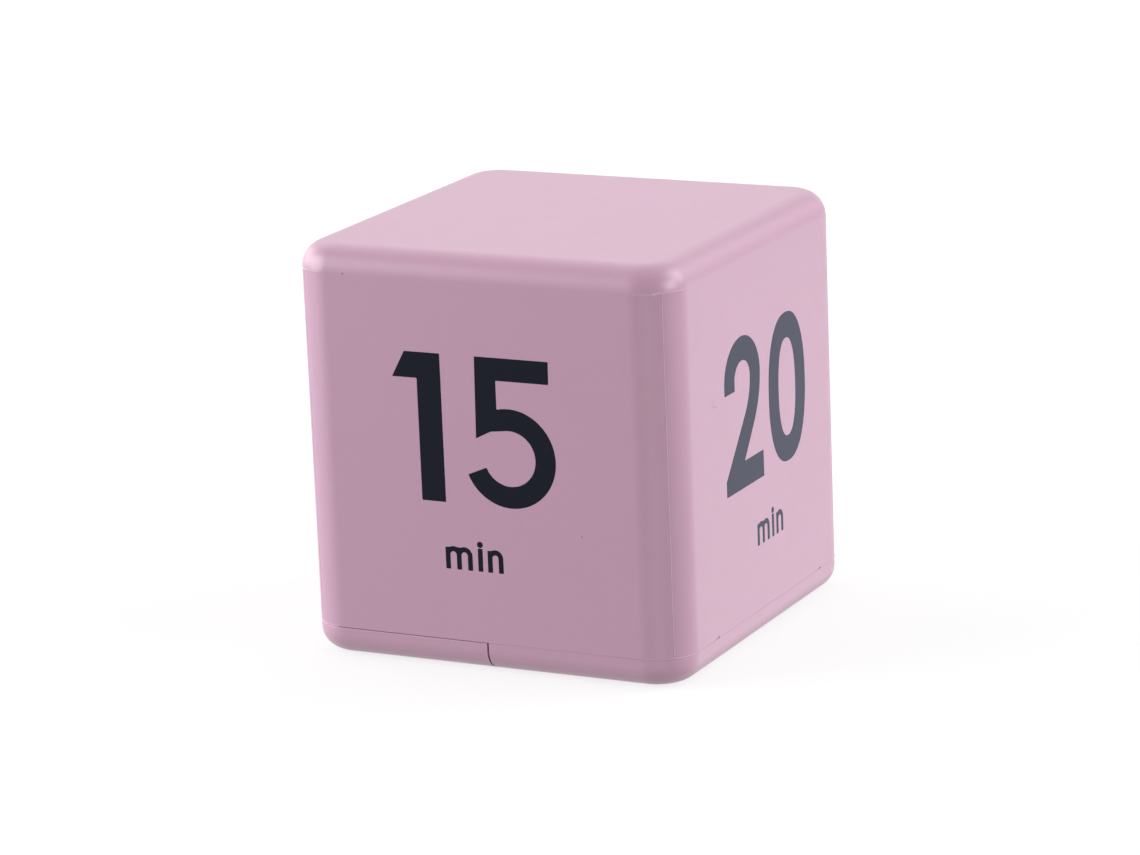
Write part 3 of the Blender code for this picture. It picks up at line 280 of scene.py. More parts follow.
def finish(name, code, sockets, spread, size=6, rough=(0.4, 0.5), grain=0.5, relief=1, haze=None, detail=3):
    """A drifting colour and gloss with a fine grain. Sizes are in millimetres, the relief in microns."""
    made, tree, shader, place = surface(name, sockets)
    mottled(tree, shader, place, code, spread, size * MM, rough, (haze or 4 * grain) * MM)
    fine = add(tree, "ShaderNodeTexNoise", {"Vector": place, "Scale": 1 / (grain * MM), "Detail": detail})
    relief = {"Height": fine.outputs["Fac"], "Distance": relief * MICRON, "Strength": 1}
    bump = add(tree, "ShaderNodeBump", relief)
    tree.links.new(bump.outputs["Normal"], shader.inputs["Normal"])
    return made


# Injection-moulded ABS with a fine spark-eroded skin: satin, a little cloudy, faintly lit from within
PINK_CODE = "BE94AC"
SATIN = {"IOR": 1.54, "Specular IOR Level": 0.65, "Subsurface Weight": 0.12, "Subsurface Scale": 1.2 * MM}
pink_abs = finish("moulded_pink_abs", PINK_CODE, SATIN, 0.015, 14, (0.34, 0.41), 0.35, 1.2, 4, 2)


def corner_ridge(across, along, height):
    """A fine sharp ridge round one rounded corner, with sides that face up and down at 45 degrees."""
    shape = bmesh.new()
    bmesh.ops.create_circle(shape, segments=4, radius=RIDGE_R)
    upright = shift(CORNER_R + RIDGE_RISE - RIDGE_R, 0, 0) @ swing(90, "X")
    start = {(1, 1): 0, (-1, 1): 90, (-1, -1): 180, (1, -1): 270}[across, along] + RIDGE_SPAN[0]
    bmesh.ops.transform(shape, matrix=swing(start, "Z") @ upright, verts=shape.verts)
    path = {"axis": (0, 0, 1), "cent": (0, 0, 0), "angle": math.radians(RIDGE_SPAN[1] - RIDGE_SPAN[0])}
    bmesh.ops.spin(shape, geom=shape.edges[:], steps=RIDGE_STEPS, **path)
    bmesh.ops.holes_fill(shape, edges=[e for e in shape.edges if e.is_boundary], sides=0)
    bmesh.ops.translate(shape, vec=(across * CORNER_AXIS, along * CORNER_AXIS, height), verts=shape.verts)
    return solid(shape)


walls = (about(0, HALF), about(0, HALF))
shell = slab(*walls, (SHELL_FOOT, TOP), CORNER_R, TOP_R, FOOT_EDGE_R, steps=FINE_STEPS)
reach = CORNER_AXIS + (CORNER_R + RIDGE_RISE) * math.cos(math.radians(45)) - RIDGE_R
ridges, rounds = [], []
for u in (-1, 1):
    for v in (-1, 1):
        span = (SHELL_FOOT + BITE, LEDGE_Z)
        ridges.append(slab(about(u * reach, RIDGE_R), about(v * reach, RIDGE_R), span))
        rounds += [corner_ridge(u, v, LEDGE_Z), corner_ridge(u, v, SHELL_FOOT + RIDGE_RISE)]
for turn, rise in FLASH:
    angle = math.radians(turn - 90)
    out = CORNER_R + FLASH_RISE - FLASH_R
    x, y = CORNER_AXIS + out * math.cos(angle), -CORNER_AXIS + out * math.sin(angle)
    rounds.append(pebble(FLASH_R, (x, y, LEDGE_Z + rise), 3))
hollow = (about(0, CAVITY_HALF), about(0, CAVITY_HALF))
cavity = slab(*hollow, (SHELL_FOOT - OVERRUN, CEILING), CORNER_R - WALL, TOP_R - WALL)
carve(shell, joins=ridges, cuts=[cavity])
carve(shell, joins=rounds)

pillars, holes = [], []
for side in (-1, 1):
    y = side * SCREW_Y
    rib = sorted((y, side * (CAVITY_HALF + BITE)))
    catch = (CAVITY_HALF - CATCH_T, CAVITY_HALF + BITE)
    pillars.append(peg(PILLAR_R, BAY_X, y, PILLAR_FOOT, CEILING + BITE))
    pillars.append(slab(about(BAY_X, RIB_T / 2), rib, (RIB_Z, CEILING + BITE)))
    pillars.append(slab(catch, about(side * HOOK_Y, CATCH_W / 2), (CATCH_Z, CATCH_Z + CATCH_H)))
    holes.append(peg(SCREW_HOLE_R, BAY_X, y, PILLAR_FOOT - OVERRUN, PILLAR_FOOT + PILLAR_HOLE))
carve(shell, joins=pillars, cuts=holes)

# Small marks of use: two pits in the front wall, nicks and a scuff in the right wall, a faint dent in
# the top
sunk = PIT_R - PIT_DEPTH
marks = [pebble(PIT_R, (x, -HALF - sunk, z)) for x, z in PITS]
for y in NICKS:
    start, end = (HALF + sunk, y - NICK_HALF, SHELL_FOOT), (HALF + sunk, y + NICK_HALF, SHELL_FOOT + PIT_R)
    marks.append(rod(PIT_R, start, end, 16))
scuff = [Vector((HALF + PIT_R - SCUFF_DEPTH, y * MM, z * MM)) for y, z in SCUFF]
marks += [rod(PIT_R, start, end, 16) for start, end in zip(scuff, scuff[1:])]
marks.append(pebble(DENT_R, (*DENT, TOP + DENT_R - DENT_DEPTH), 4))
carve(shell, cuts=marks)

# Printed figures: 15, 20, 30 and 60, each with the word min, pad-printed on the walls in glossy blue-black
# ink. Each print fills a shallow recess of its own outline, so that it lies flush with the wall.
FIGURE_H = 22.95 * MM
FIGURE_STEPS = 16
LETTER_STEPS = 8
PRINT_DEPTH = 0.2 * MM
INK_SINK = 0.004 * MM
FIGURE_CORNER_R = 0.14 * MM
LETTER_CORNER_R = 0.11 * MM
CORNER_STEPS = 3
SHARP_ANGLE = math.radians(50)
LETTER_H = 3.6 * MM
LETTER_STROKE = 0.82 * MM
DOT_R = 0.5 * MM
DOT_RISE = 4.2 * MM
LETTER_DROP = 10.4 * MM
# Each wall's heading in degrees, the shift of its figures and of its word, and its figures' baseline
PRINTS = {
    "15": (0, -1.0 * MM, -1.9 * MM, 26.2 * MM),
    "20": (90, 1.55 * MM, 2.0 * MM, 25.2 * MM),
    "30": (180, -1.0 * MM, -1.9 * MM, 26.2 * MM),
    "60": (270, 1.55 * MM, 2.0 * MM, 25.2 * MM),
}
VOID_R = 0.11 * MM
VOIDS = [(10.75 * MM, 35.7 * MM), (-6.5 * MM, 29.0 * MM)]
STROKE_SHARE = 0.176
THIN_SHARE = 0.152
WIDE_SHARE = 0.604
BOWL_WIDE_SHARE = 0.652
SPACE_SHARES = {"15": 0.164, "20": 0.105, "30": 0.105, "60": 0.105}
ROUND_POWER = 2.3


def arc(centre, radii, start=0, end=360, power=2, fineness=FIGURE_STEPS):
    """Points round an oval from one angle in degrees to another. A power over 2 squares it off."""
    steps = max(2, round(abs(end - start) / 90 * fineness))
    points = []
    for step in range(steps + 1):
        angle = math.radians(start + (end - start) * step / steps)
        pairs = zip(centre, radii, (math.cos(angle), math.sin(angle)))
        points.append(tuple(c + r * math.copysign(abs(part) ** (2 / power), part) for c, r, part in pairs))
    return points


def ring(centre, radius, start=0, end=360, fineness=FIGURE_STEPS):
    """Points round a circle from one angle in degrees to another."""
    return arc(centre, (radius, radius), start, end, fineness=fineness)


def bend(start, pull, end):
    """Points along a curve that leaves start towards pull and reaches end, without its two ends."""
    shares = [step / FIGURE_STEPS for step in range(1, FIGURE_STEPS)]
    return [
        tuple((1 - t) ** 2 * a + 2 * t * (1 - t) * b + t**2 * c for a, b, c in zip(start, pull, end))
        for t in shares
    ]


# Each figure, one unit high: its outline, the hollow in it if there is one, and its width
def figure_0():
    middle, outer_shares, inner_shares = (0.302, 0.512), (0.302, 0.512), (0.138, 0.336)
    outer, inner = (arc(middle, shares, power=ROUND_POWER)[:-1] for shares in (outer_shares, inner_shares))
    return outer, inner, WIDE_SHARE


def figure_1():
    right_share, slant_share = 0.357, 0.096
    left_share, flag_share = right_share - STROKE_SHARE, 1 - STROKE_SHARE
    outline = [(slant_share, 1), (right_share, 1), (right_share, 0)]
    outline += [(left_share, 0), (left_share, flag_share), (0, flag_share)]
    return outline, None, right_share


def figure_2():
    middle, outer_share, inner_share = (0.291, 0.739), 0.286, 0.122
    stem_shares = [(0.577, 0.545), (0.440, 0.370)]
    foot_shares = [(0.298, 0.180), (0.600, 0.180), (0.600, 0), (0, 0), (0, 0.105), (0.313, 0.480)]
    crown = ring(middle, outer_share, 180, 0)
    under = ring(middle, inner_share, 0, 180)
    stem = [*bend(crown[-1], *stem_shares), stem_shares[-1]]
    rise = bend(foot_shares[-1], (0.413, 0.600), under[0])
    return [(0.005, 0.680), *crown, *stem, *foot_shares, *rise, *under, (0.169, 0.680)], None, WIDE_SHARE


def figure_3():
    upper, lower = (0.290, 0.755), (0.290, 0.285)
    outer_shares, inner_shares = (0.262, 0.302), (0.112, 0.137)
    outside = ring(upper, outer_shares[0], 155, -45) + ring(lower, outer_shares[1], 55, -160)
    under = ring(lower, inner_shares[1], -160, 80)
    over = ring(upper, inner_shares[0], -80, 155)
    return outside + under + [(0.235, 0.425), (0.235, 0.605)] + over, None, WIDE_SHARE


def figure_5():
    middle, outer_share, inner_share = (0.318, 0.331), 0.334, 0.187
    flag_share = 1 - THIN_SHARE
    flag = [(0.089, 1), (0.623, 1), (0.620, flag_share), (0.238, flag_share)]
    bowl = ring(middle, outer_share, 104, -157.5)
    under = ring(middle, inner_share, -157.5, 100)
    return flag + bowl + under + [(0.186, 0.504), (0.078, 0.450)], None, BOWL_WIDE_SHARE


def figure_6():
    middle, outer_share, inner_share = (0.325, 0.320), 0.325, 0.170
    bowl = ring(middle, outer_share, 150, 410)
    return bowl + [(0.395, 0.640), (0.600, 1), (0.405, 1)], ring(middle, inner_share)[:-1], BOWL_WIDE_SHARE


FIGURES = {"0": figure_0, "1": figure_1, "2": figure_2, "3": figure_3, "5": figure_5, "6": figure_6}


def legs(places):
    """The outline of a letter like m or n: upright legs at places, joined at the top by arches."""
    half, stroke = LETTER_STROKE / 2, LETTER_STROKE
    top, spring = LETTER_H, LETTER_H - stroke - (places[1] - places[0] - stroke) / 2
    outline = [(places[0] - half, 0), (places[0] - half, top - stroke / 4)]
    for left, right in zip(places, places[1:]):
        middle, reach = (left + right) / 2, (right - left) / 2
        crown = arc((middle, spring), (reach + half, top - spring), 120, 0, fineness=LETTER_STEPS)
        outline += crown if right == places[-1] else crown[: -LETTER_STEPS + 1]
    outline += [(places[-1] + half, 0)]
    for left, right in zip(places[-2::-1], places[:0:-1]):
        inner = ring(((left + right) / 2, spring), (right - left) / 2 - half, 0, 180, LETTER_STEPS)
        outline += [(right - half, 0), *inner, (left + half, 0)]
    return outline


def letters_min():
    """The outlines of the word min, from the left of the m at x = 0, and its width."""
    half, leg = LETTER_STROKE / 2, LETTER_H * 0.52
    m_legs = [half + leg * n for n in range(3)]
    i_x = m_legs[-1] + leg * 0.93
    n_legs = [i_x + leg * 0.87, i_x + leg * 1.84]
    stem = [(i_x - half, 0), (i_x - half, LETTER_H), (i_x + half, LETTER_H), (i_x + half, 0)]
    dot = ring((i_x, DOT_RISE), DOT_R, fineness=LETTER_STEPS)[:-1]
    return [legs(m_legs), stem, dot, legs(n_legs)], n_legs[-1] + half


def prism(outline, low, high, corner_r=0):
    """A flat outline pushed out along Z, from low to high, its sharp corners rounded a little."""
    shape = bmesh.new()
    face = shape.faces.new([shape.verts.new((x, y, low)) for x, y in outline])
    grown = bmesh.ops.extrude_face_region(shape, geom=[face])["geom"]
    moved = [v for v in grown if isinstance(v, bmesh.types.BMVert)]
    bmesh.ops.translate(shape, vec=(0, 0, high - low), verts=moved)
    bmesh.ops.recalc_face_normals(shape, faces=shape.faces)
    if corner_r:
        upright = [e for e in shape.edges if abs(e.verts[0].co.z - e.verts[1].co.z) > (high - low) / 2]
        rounded(shape, [e for e in upright if e.calc_face_angle(0) > SHARP_ANGLE], corner_r, CORNER_STEPS)
    return solid(shape)


def sign(outer, inner, low, high, corner_r=0):
    """A prism of an outline, with its hollow cut out where it has one."""
    made = prism(outer, low, high, corner_r)
    return carve(made, cuts=[prism(inner, low - OVERRUN, high + OVERRUN)]) if inner else made


def placed(piece, move):
    """A piece with a move applied to its mesh."""
    piece.data.transform(move)
    return piece


def printed(figures, heading, aside, word_aside, baseline, low, high):
    """Prisms of a wall's figures and of the word min under them, from low to high above the wall."""
    wall = swing(heading, "Z") @ shift(0, -HALF, 0) @ swing(90, "X")
    drawn = [FIGURES[figure]() for figure in figures]
    space = SPACE_SHARES[figures] * FIGURE_H
    x = aside - (sum(width for *_, width in drawn) * FIGURE_H + space) / 2
    made = []
    for outer, inner, width in drawn:
        rings = [[(x + u * FIGURE_H, baseline + v * FIGURE_H) for u, v in r or ()] for r in (outer, inner)]
        made.append(sign(*rings, low, high, FIGURE_CORNER_R))
        x += width * FIGURE_H + space
    letters, width = letters_min()
    x = word_aside - width / 2
    for outline in letters:
        moved = [(x + u, baseline - LETTER_DROP + v) for u, v in outline]
        made.append(prism(moved, low, high, LETTER_CORNER_R))
    return [placed(piece, wall) for piece in made]


def joined(pieces):
    """Puts separate shapes into one mesh."""
    shape = bmesh.new()
    for piece in pieces:
        shape.from_mesh(piece.data)
        bpy.data.objects.remove(piece)
    return solid(shape)


# Two-part pad-printing ink, thick and glossy, so it mirrors its surroundings where it is seen at a slant
GLOSSY = {"IOR": 1.42, "Specular IOR Level": 0.15}
GLOSSY |= {"Sheen Weight": 0.7, "Sheen Roughness": 0.35, "Sheen Tint": linear("8C9CFF")}
ink = finish("pad_printed_ink", "10131F", GLOSSY, 0.10, 3, (0.16, 0.26), 0.6, 0.8, 2, 2)

for figures, here in PRINTS.items():
    carve(shell, cuts=printed(figures, *here, -PRINT_DEPTH, OVERRUN))
    figure_print = joined(printed(figures, *here, -PRINT_DEPTH + INK_SINK, -INK_SINK))
    if figures == "15":
        voids = [rod(VOID_R, (x, -HALF - BITE, z), (x, BITE - HALF, z), 12) for x, z in VOIDS]
        carve(figure_print, cuts=voids)
    dress(figure_print, f"print_{figures}", ink)
dress(shell, "shell", pink_abs, "case_shell")

# The flash on the parting lines, in a paler pink that paints in the highlight the lines and the flash catch
FLASH_REACH = 0.012 * MM
FAINT_GLOW = {"IOR": 1.54, "Subsurface Weight": 0.12, "Subsurface Scale": 0.5 * MM}
flash_highlight_paint, tree, shader, place = surface("pink_flash_painted_highlight", FAINT_GLOW)
mottled(tree, shader, place, "CDABBF", 0.10, 2 * MM, (0.4, 0.5), 1 * MM)
shell.data.materials.append(flash_highlight_paint)
# Painted highlight: faces of the ridges and flash that stand out past the rounded corners take the paler pink
for face in shell.data.polygons:
    past = Vector((abs(face.center.x) - CORNER_AXIS, abs(face.center.y) - CORNER_AXIS))
    if min(past) > 0 and past.length > CORNER_R + FLASH_REACH:
        face.material_index = 1

# Base: the moulding that closes the cube below, in the same pink ABS. Its right half is the foot rim and the
# display side. Over the door it is a deck with the battery bay, which rises into the shell. Two screws and
# two snap hooks hold it.
GAP = 0.3 * MM
SEAM_GAP = 0.015 * MM
SEAM_EDGE_R = 0.03 * MM
BOTTOM_R = 3.5 * MM
FLOOR = 2.4 * MM
BASE_EDGE = -0.15 * MM
LIP_T = 1.2 * MM
LIP_HALF = CAVITY_HALF - GAP
LIP_IN = LIP_HALF - LIP_T
LIP_R = CORNER_R - WALL - GAP
LIP_TOP = 7.5 * MM
LIP_EDGE_R = 0.2 * MM
DECK_Z = 2.1 * MM
DECK_TOP = 5.1 * MM
DIVIDER = 2.8 * MM
POCKET_STEP = 0.4 * MM
BAY_HALF = (11.5 * MM, 25.45 * MM)
BAY_WALL = 1.2 * MM
BAY_R = 1.2 * MM
BAY_EDGE_R = 0.3 * MM
BAY_IN_R = 0.4 * MM
BAY_TOP = 13.3 * MM
ROOF_TOP = 14.8 * MM
SEAT_R = 4.0 * MM
SEAT_TOP = 16.3 * MM
HEAD_HOLE_R = 2.8 * MM
COUNTERBORE = 1.0 * MM
CRADLE_Y = 9.0 * MM
CRADLE_T = 1.5 * MM
CRADLE_DEPTH = 3.8 * MM
TAB_SLOT = (1.55 * MM, 1.4 * MM)
HOOK_W = 6.0 * MM
HOOK_T = 1.2 * MM
NOSE_Z = 10.3 * MM
NOSE_H = 1.5 * MM
BOSS_R = 2.0 * MM
BOSS_TOP = 7.2 * MM
BOSS_HOLE_R = 1.1 * MM
BOSS_HOLE_Z = 3.2 * MM
RAIL_DEPTH = 0.9 * MM
RAIL_Z = 3.2 * MM
RAIL_H = 0.6 * MM
RAIL_END = -2.0 * MM
TONGUE_Y = 18.0 * MM
TONGUE_W = 8.0 * MM
TONGUE_L = 1.8 * MM
TONGUE_T = 0.9 * MM
DOOR_FLOOR = 1.8 * MM
REBATE_Z = 1.6 * MM
REBATE_R = 1.5 * MM
VIEW_FRAME = 1.75 * MM
VIEW_R = 0.75 * MM
WELL_HALF = (6.5 * MM, 3.5 * MM)
WELL_DEPTH = 1.2 * MM
WELL_R = 1.0 * MM
KNOB_SLOT = (3.8 * MM, 1.5 * MM)
KNOB_SLOT_R = 0.2 * MM
FLOOR_CUT = 4 * MM
ROOF_CUT = 20 * MM
SIGN = (1.1 * MM, 0.3 * MM)
SIGN_Y = 27.6 * MM
SIGN_DEPTH = 0.15 * MM
WORD_H = 1.3 * MM
WORD_DEPTH = 0.2 * MM
WORD_Y = -15.7 * MM
WORD_SPACE_SHARE = 0.2
SLIDE_STEP = 2.0 * MM

CELLS = [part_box("battery_cell_1"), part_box("battery_cell_2")]
CELL_R = (CELLS[0][1].x - CELLS[0][0].x) / 2
CELL_X = [(low.x + high.x) / 2 for low, high in CELLS]
CELL_Z = (CELLS[0][0].z + CELLS[0][1].z) / 2
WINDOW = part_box("display_window")
KNOB_LOW, KNOB_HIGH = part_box("switch_knob")
PANEL_X = (WINDOW[0].x + WINDOW[1].x) / 2
SWITCH_Y = (KNOB_LOW.y + KNOB_HIGH.y) / 2
KNOB_SPANS = (about(PANEL_X, KNOB_SLOT[0]), about(SWITCH_Y, KNOB_SLOT[1]))
BOARD_SCREWS = [sum(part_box(f"board_screw_{n}"), Vector()) / 2 for n in (1, 2, 3, 4)]
ARM_X = CAVITY_HALF - CATCH_T - GAP


def letter(kind):
    """The outline of a capital, one unit high, its hollow if it has one, and its width."""
    if kind == "O":
        outer, inner = (arc((0.36, 0.5), radii, 0, 360, 2.4, 6)[:-1] for radii in ((0.36, 0.5), (0.19, 0.33)))
        return outer, inner, 0.72
    if kind == "F":
        arms = [(0, 0), (0, 1), (0.58, 1), (0.58, 0.83), (0.18, 0.83), (0.18, 0.6)]
        return arms + [(0.5, 0.6), (0.5, 0.43), (0.18, 0.43), (0.18, 0)], None, 0.58
    if kind == "L":
        return [(0, 0), (0, 1), (0.18, 1), (0.18, 0.17), (0.56, 0.17), (0.56, 0)], None, 0.56
    if kind == "H":
        left = [(0, 0), (0, 1), (0.18, 1), (0.18, 0.59), (0.48, 0.59), (0.48, 1)]
        return left + [(0.66, 1), (0.66, 0), (0.48, 0), (0.48, 0.42), (0.18, 0.42), (0.18, 0)], None, 0.66
    return [(0, 0), (0, 1), (0.18, 1), (0.18, 0)], None, 0.18


def word(letters, height, x, y, low, high):
    """Prisms of a word that is read from below, along Y, with its letters' tops towards +X."""
    made = []
    for kind in letters:
        *rings, width = letter(kind)
        rings = [[(x + v * height, y + u * height) for u, v in outline or ()] for outline in rings]
        made.append(sign(*rings, low, high))
        y += (width + WORD_SPACE_SHARE) * height
    return made


def cradle(y):
    """A rib under the bay's roof with a round seat for each cell."""
    height = (BAY_TOP - CRADLE_DEPTH, BAY_TOP + BITE)
    rib = slab(about(BAY_X, BAY_HALF[0] + BITE), about(y, CRADLE_T / 2), height)
    seats = [rod(CELL_R + GAP, (x, y - CRADLE_T, CELL_Z), (x, y + CRADLE_T, CELL_Z), 64) for x in CELL_X]
    return carve(rib, cuts=seats)


rim_top = SHELL_FOOT - SEAM_GAP
base = slab(*walls, (0, rim_top), CORNER_R, SEAM_EDGE_R, BOTTOM_R, steps=FINE_STEPS)
carve(base, cuts=[slab((-2 * HALF, BASE_EDGE), about(0, 2 * HALF), (-OVERRUN, rim_top + OVERRUN))])
deck = slab(about(0, LIP_HALF), about(0, LIP_HALF), (DECK_Z, LIP_TOP), LIP_R, LIP_EDGE_R)
well = slab(about(0, LIP_IN), about(0, LIP_IN), (DECK_TOP, LIP_TOP + OVERRUN), LIP_R - LIP_T)
pocket = LIP_IN - POCKET_STEP
display_well = slab((DIVIDER, pocket), about(0, pocket), (FLOOR, DECK_TOP + OVERRUN), LIP_R - LIP_T)
carve(base, joins=[deck], cuts=[well, display_well])

wall_spans = (about(BAY_X, BAY_HALF[0] + BAY_WALL), about(0, BAY_HALF[1] + BAY_WALL))
joins = [slab(*wall_spans, (DECK_Z + BITE, ROOF_TOP), BAY_R, BAY_EDGE_R)]
cuts = []
for side in (-1, 1):
    y = side * SCREW_Y
    arm = about(side * HOOK_Y, HOOK_W / 2)
    joins += [
        peg(SEAT_R, BAY_X, y, BAY_TOP + BITE, SEAT_TOP, 48),
        slab((ARM_X - HOOK_T, ARM_X), arm, (DECK_TOP - BITE, NOSE_Z + NOSE_H)),
        slab((ARM_X - BITE, LIP_HALF), arm, (NOSE_Z, NOSE_Z + NOSE_H - BITE)),
    ]
    groove = sorted((side * (CAVITY_HALF - RAIL_DEPTH - GAP), side * (HALF + OVERRUN)))
    tongue = about(side * TONGUE_Y, TONGUE_W / 2 + GAP)
    cuts += [
        peg(HEAD_HOLE_R, BAY_X, y, BAY_TOP - OVERRUN, BAY_TOP + COUNTERBORE, 48),
        peg(SCREW_HOLE_R, BAY_X, y, BAY_TOP - OVERRUN, SEAT_TOP + OVERRUN),
        slab((-HALF, RAIL_END + GAP), groove, (RAIL_Z - GAP, RAIL_Z + RAIL_H + GAP)),
        slab((BASE_EDGE - OVERRUN, BASE_EDGE + TONGUE_L), tongue, (DOOR_FLOOR - TONGUE_T - GAP, DECK_Z)),
    ]
for spot in BOARD_SCREWS:
    joins.append(peg(BOSS_R, spot.x, spot.y, FLOOR - BITE, BOSS_TOP, 40))
    cuts.append(peg(BOSS_HOLE_R, spot.x, spot.y, BOSS_HOLE_Z, BOSS_TOP + OVERRUN))
bay = slab(about(BAY_X, BAY_HALF[0]), about(0, BAY_HALF[1]), (DECK_Z - OVERRUN, BAY_TOP), BAY_IN_R)
carve(base, joins=joins, cuts=[bay])

# Under the deck, a plus stands by each cell's head and a minus by its foot
for x, heads in zip(CELL_X, (-1, 1)):
    tab_y = -BAY_HALF[1] - GAP
    cuts.append(slab(about(x, TAB_SLOT[0]), (tab_y, TAB_SLOT[1] + tab_y), (BAY_TOP - OVERRUN, ROOF_CUT)))
    for side in (-1, 1):
        y, depth = side * SIGN_Y, (DECK_Z - OVERRUN, DECK_Z + SIGN_DEPTH)
        cuts.append(slab(about(x, SIGN[0]), about(y, SIGN[1]), depth))
        if side == heads:
            carve(cuts[-1], joins=[slab(about(x, SIGN[1]), about(y, SIGN[0]), depth)])
for spare, top, corner_r in ((-VIEW_FRAME, FLOOR_CUT, VIEW_R), (GAP, REBATE_Z, REBATE_R)):
    spans = [(low - spare, high + spare) for low, high in zip(*WINDOW)][:2]
    cuts.append(slab(*spans, (-OVERRUN, top), corner_r))
well_spans = (about(PANEL_X, WELL_HALF[0]), about(SWITCH_Y, WELL_HALF[1]))
cuts.append(slab(*well_spans, (-OVERRUN, WELL_DEPTH), WELL_R))
cuts.append(slab(*KNOB_SPANS, (0, FLOOR_CUT), KNOB_SLOT_R))
for letters, step in (("OFF", -1), ("LO", 0), ("HI", 1)):
    x = PANEL_X + step * SLIDE_STEP - WORD_H / 2
    cuts += word(letters, WORD_H, x, WORD_Y, -OVERRUN, WORD_DEPTH)
carve(base, joins=[cradle(side * CRADLE_Y) for side in (-1, 1)], cuts=cuts)
dress(base, "base", pink_abs, "case_base")

# Battery door: half of the cube's foot in one pink moulding. It slides out sideways on two rails, and two
# tongues hold its inner edge. Four grooves and an arrow under it show where and which way to push.
DOOR_EDGE = -0.45 * MM
DOOR_TOP = SHELL_FOOT - 0.10 * MM
SPLIT_EDGE_R = 0.12 * MM
RAIL_START = 4.75 * MM - HALF
TONGUE_R = 0.3 * MM
ABOVE_DOOR = 6 * MM
GRIP_X = 8.25 * MM - HALF
GRIP_PITCH = 2.0 * MM
GRIP_HALF = (0.45 * MM, 7.0 * MM)
GRIP_R = 0.4 * MM
GRIP_DEPTH = 0.5 * MM
GRIP_COUNT = 4
ARROW = [(-1.6, 0), (0.2, 1.7), (0.2, 0.6), (2.6, 0.6), (2.6, -0.6), (0.2, -0.6), (0.2, -1.7)]
ARROW_X = -11.6 * MM
ARROW_DEPTH = 0.25 * MM

door = slab(*walls, (0, DOOR_TOP), CORNER_R, SPLIT_EDGE_R, BOTTOM_R, steps=FINE_STEPS)
other_half = slab((DOOR_EDGE, 2 * HALF), about(0, 2 * HALF), (-OVERRUN, ABOVE_DOOR))
inside = slab((-CAVITY_HALF, 2 * HALF), about(0, CAVITY_HALF), (DOOR_FLOOR, ABOVE_DOOR), CORNER_R - WALL)
carve(door, cuts=[other_half, inside])
joins = []
for side in (-1, 1):
    rail = sorted((side * (CAVITY_HALF - RAIL_DEPTH), side * (CAVITY_HALF + BITE)))
    joins.append(slab((RAIL_START, RAIL_END - GAP), rail, (RAIL_Z, RAIL_Z + RAIL_H)))
    tongue = ((DOOR_EDGE - 2 * BITE, BASE_EDGE + TONGUE_L - GAP), about(side * TONGUE_Y, TONGUE_W / 2))
    joins.append(slab(*tongue, (DOOR_FLOOR - TONGUE_T, DOOR_FLOOR - BITE), TONGUE_R))
cuts = [prism([(ARROW_X + u * MM, v * MM) for u, v in ARROW], -OVERRUN, ARROW_DEPTH)]
for n in range(GRIP_COUNT):
    groove = (about(GRIP_X + n * GRIP_PITCH, GRIP_HALF[0]), about(0, GRIP_HALF[1]))
    cuts.append(slab(*groove, (-OVERRUN, GRIP_DEPTH), GRIP_R))
carve(door, joins=joins, cuts=cuts)
dress(door, "door", pink_abs, "battery_door", "door")

# Display window: a clear pane cut from acrylic sheet, its edges softened. It is glued into the base from
# outside, flush with the face the cube stands on.
WINDOW_R = 1.2 * MM
WINDOW_EDGE_R = 0.12 * MM
# Cast acrylic: clear with a trace of grey, near mirror-smooth, with the first hairline wear
CLEAR = {"IOR": 1.49, "Transmission Weight": 1.0}
acrylic = finish("clear_cast_acrylic", "F4F8F6", CLEAR, 0.01, 9, (0.01, 0.05), 0.8, 0.3)
window = block(*WINDOW, WINDOW_R, WINDOW_EDGE_R, WINDOW_EDGE_R, (8, 3))
dress(window, "window", acrylic, "display_window")

# Display glass: two panes with the liquid crystal between them, the upper one set back for the contacts.
# It is off, so the grey-green ground shows the ghosts of four digits and a colon.
GLASS_EDGE_R = 0.06 * MM
PANE = 1.1 * MM
PANE_SPLIT = 5 * MICRON
LEDGE_W = 2.5 * MM
SEGMENT_H = 8.6 * MM
SEGMENT_W = 4.7 * MM
SEGMENT_T = 0.8 * MM
SEGMENT_SPLIT = 0.12 * MM
DIGIT_PITCH = 6.3 * MM
COLON_ROOM = 2.4 * MM
GHOST_T = 0.012 * MM
GLASS_LOW, GLASS_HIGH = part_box("display_glass")
GHOST_SPAN = about(GLASS_LOW.z, GHOST_T)

# Reflective twisted-nematic glass: grey-green from its polariser, glossy, faintly clouded by the reflector
COATED = {"IOR": 1.52, "Coat Weight": 0.6, "Coat Roughness": 0.05}
lcd = finish("reflective_lcd_glass", "98A390", COATED, 0.03, 11, (0.12, 0.2), 0.2, 0.4)
# Segments that are off: the same glass, a shade darker than its ground
ghost = finish("lcd_segment_ghost", "87927F", {"IOR": 1.52}, 0.02, 5, (0.15, 0.25), 0.2, 0.4)
middle = (GLASS_LOW + GLASS_HIGH) / 2
split_z = GLASS_LOW.z + PANE
edges = (0, GLASS_EDGE_R, GLASS_EDGE_R, (2, 2))
set_back = (GLASS_LOW.x + LEDGE_W, GLASS_LOW.y + BITE, split_z + PANE_SPLIT)
inset_end = (GLASS_HIGH.x - BITE, GLASS_HIGH.y - BITE, GLASS_HIGH.z)
panes = [block(GLASS_LOW, (*GLASS_HIGH.xy, split_z - PANE_SPLIT), *edges), block(set_back, inset_end, *edges)]
dress(joined(panes), "display_panes", lcd, "display_glass")


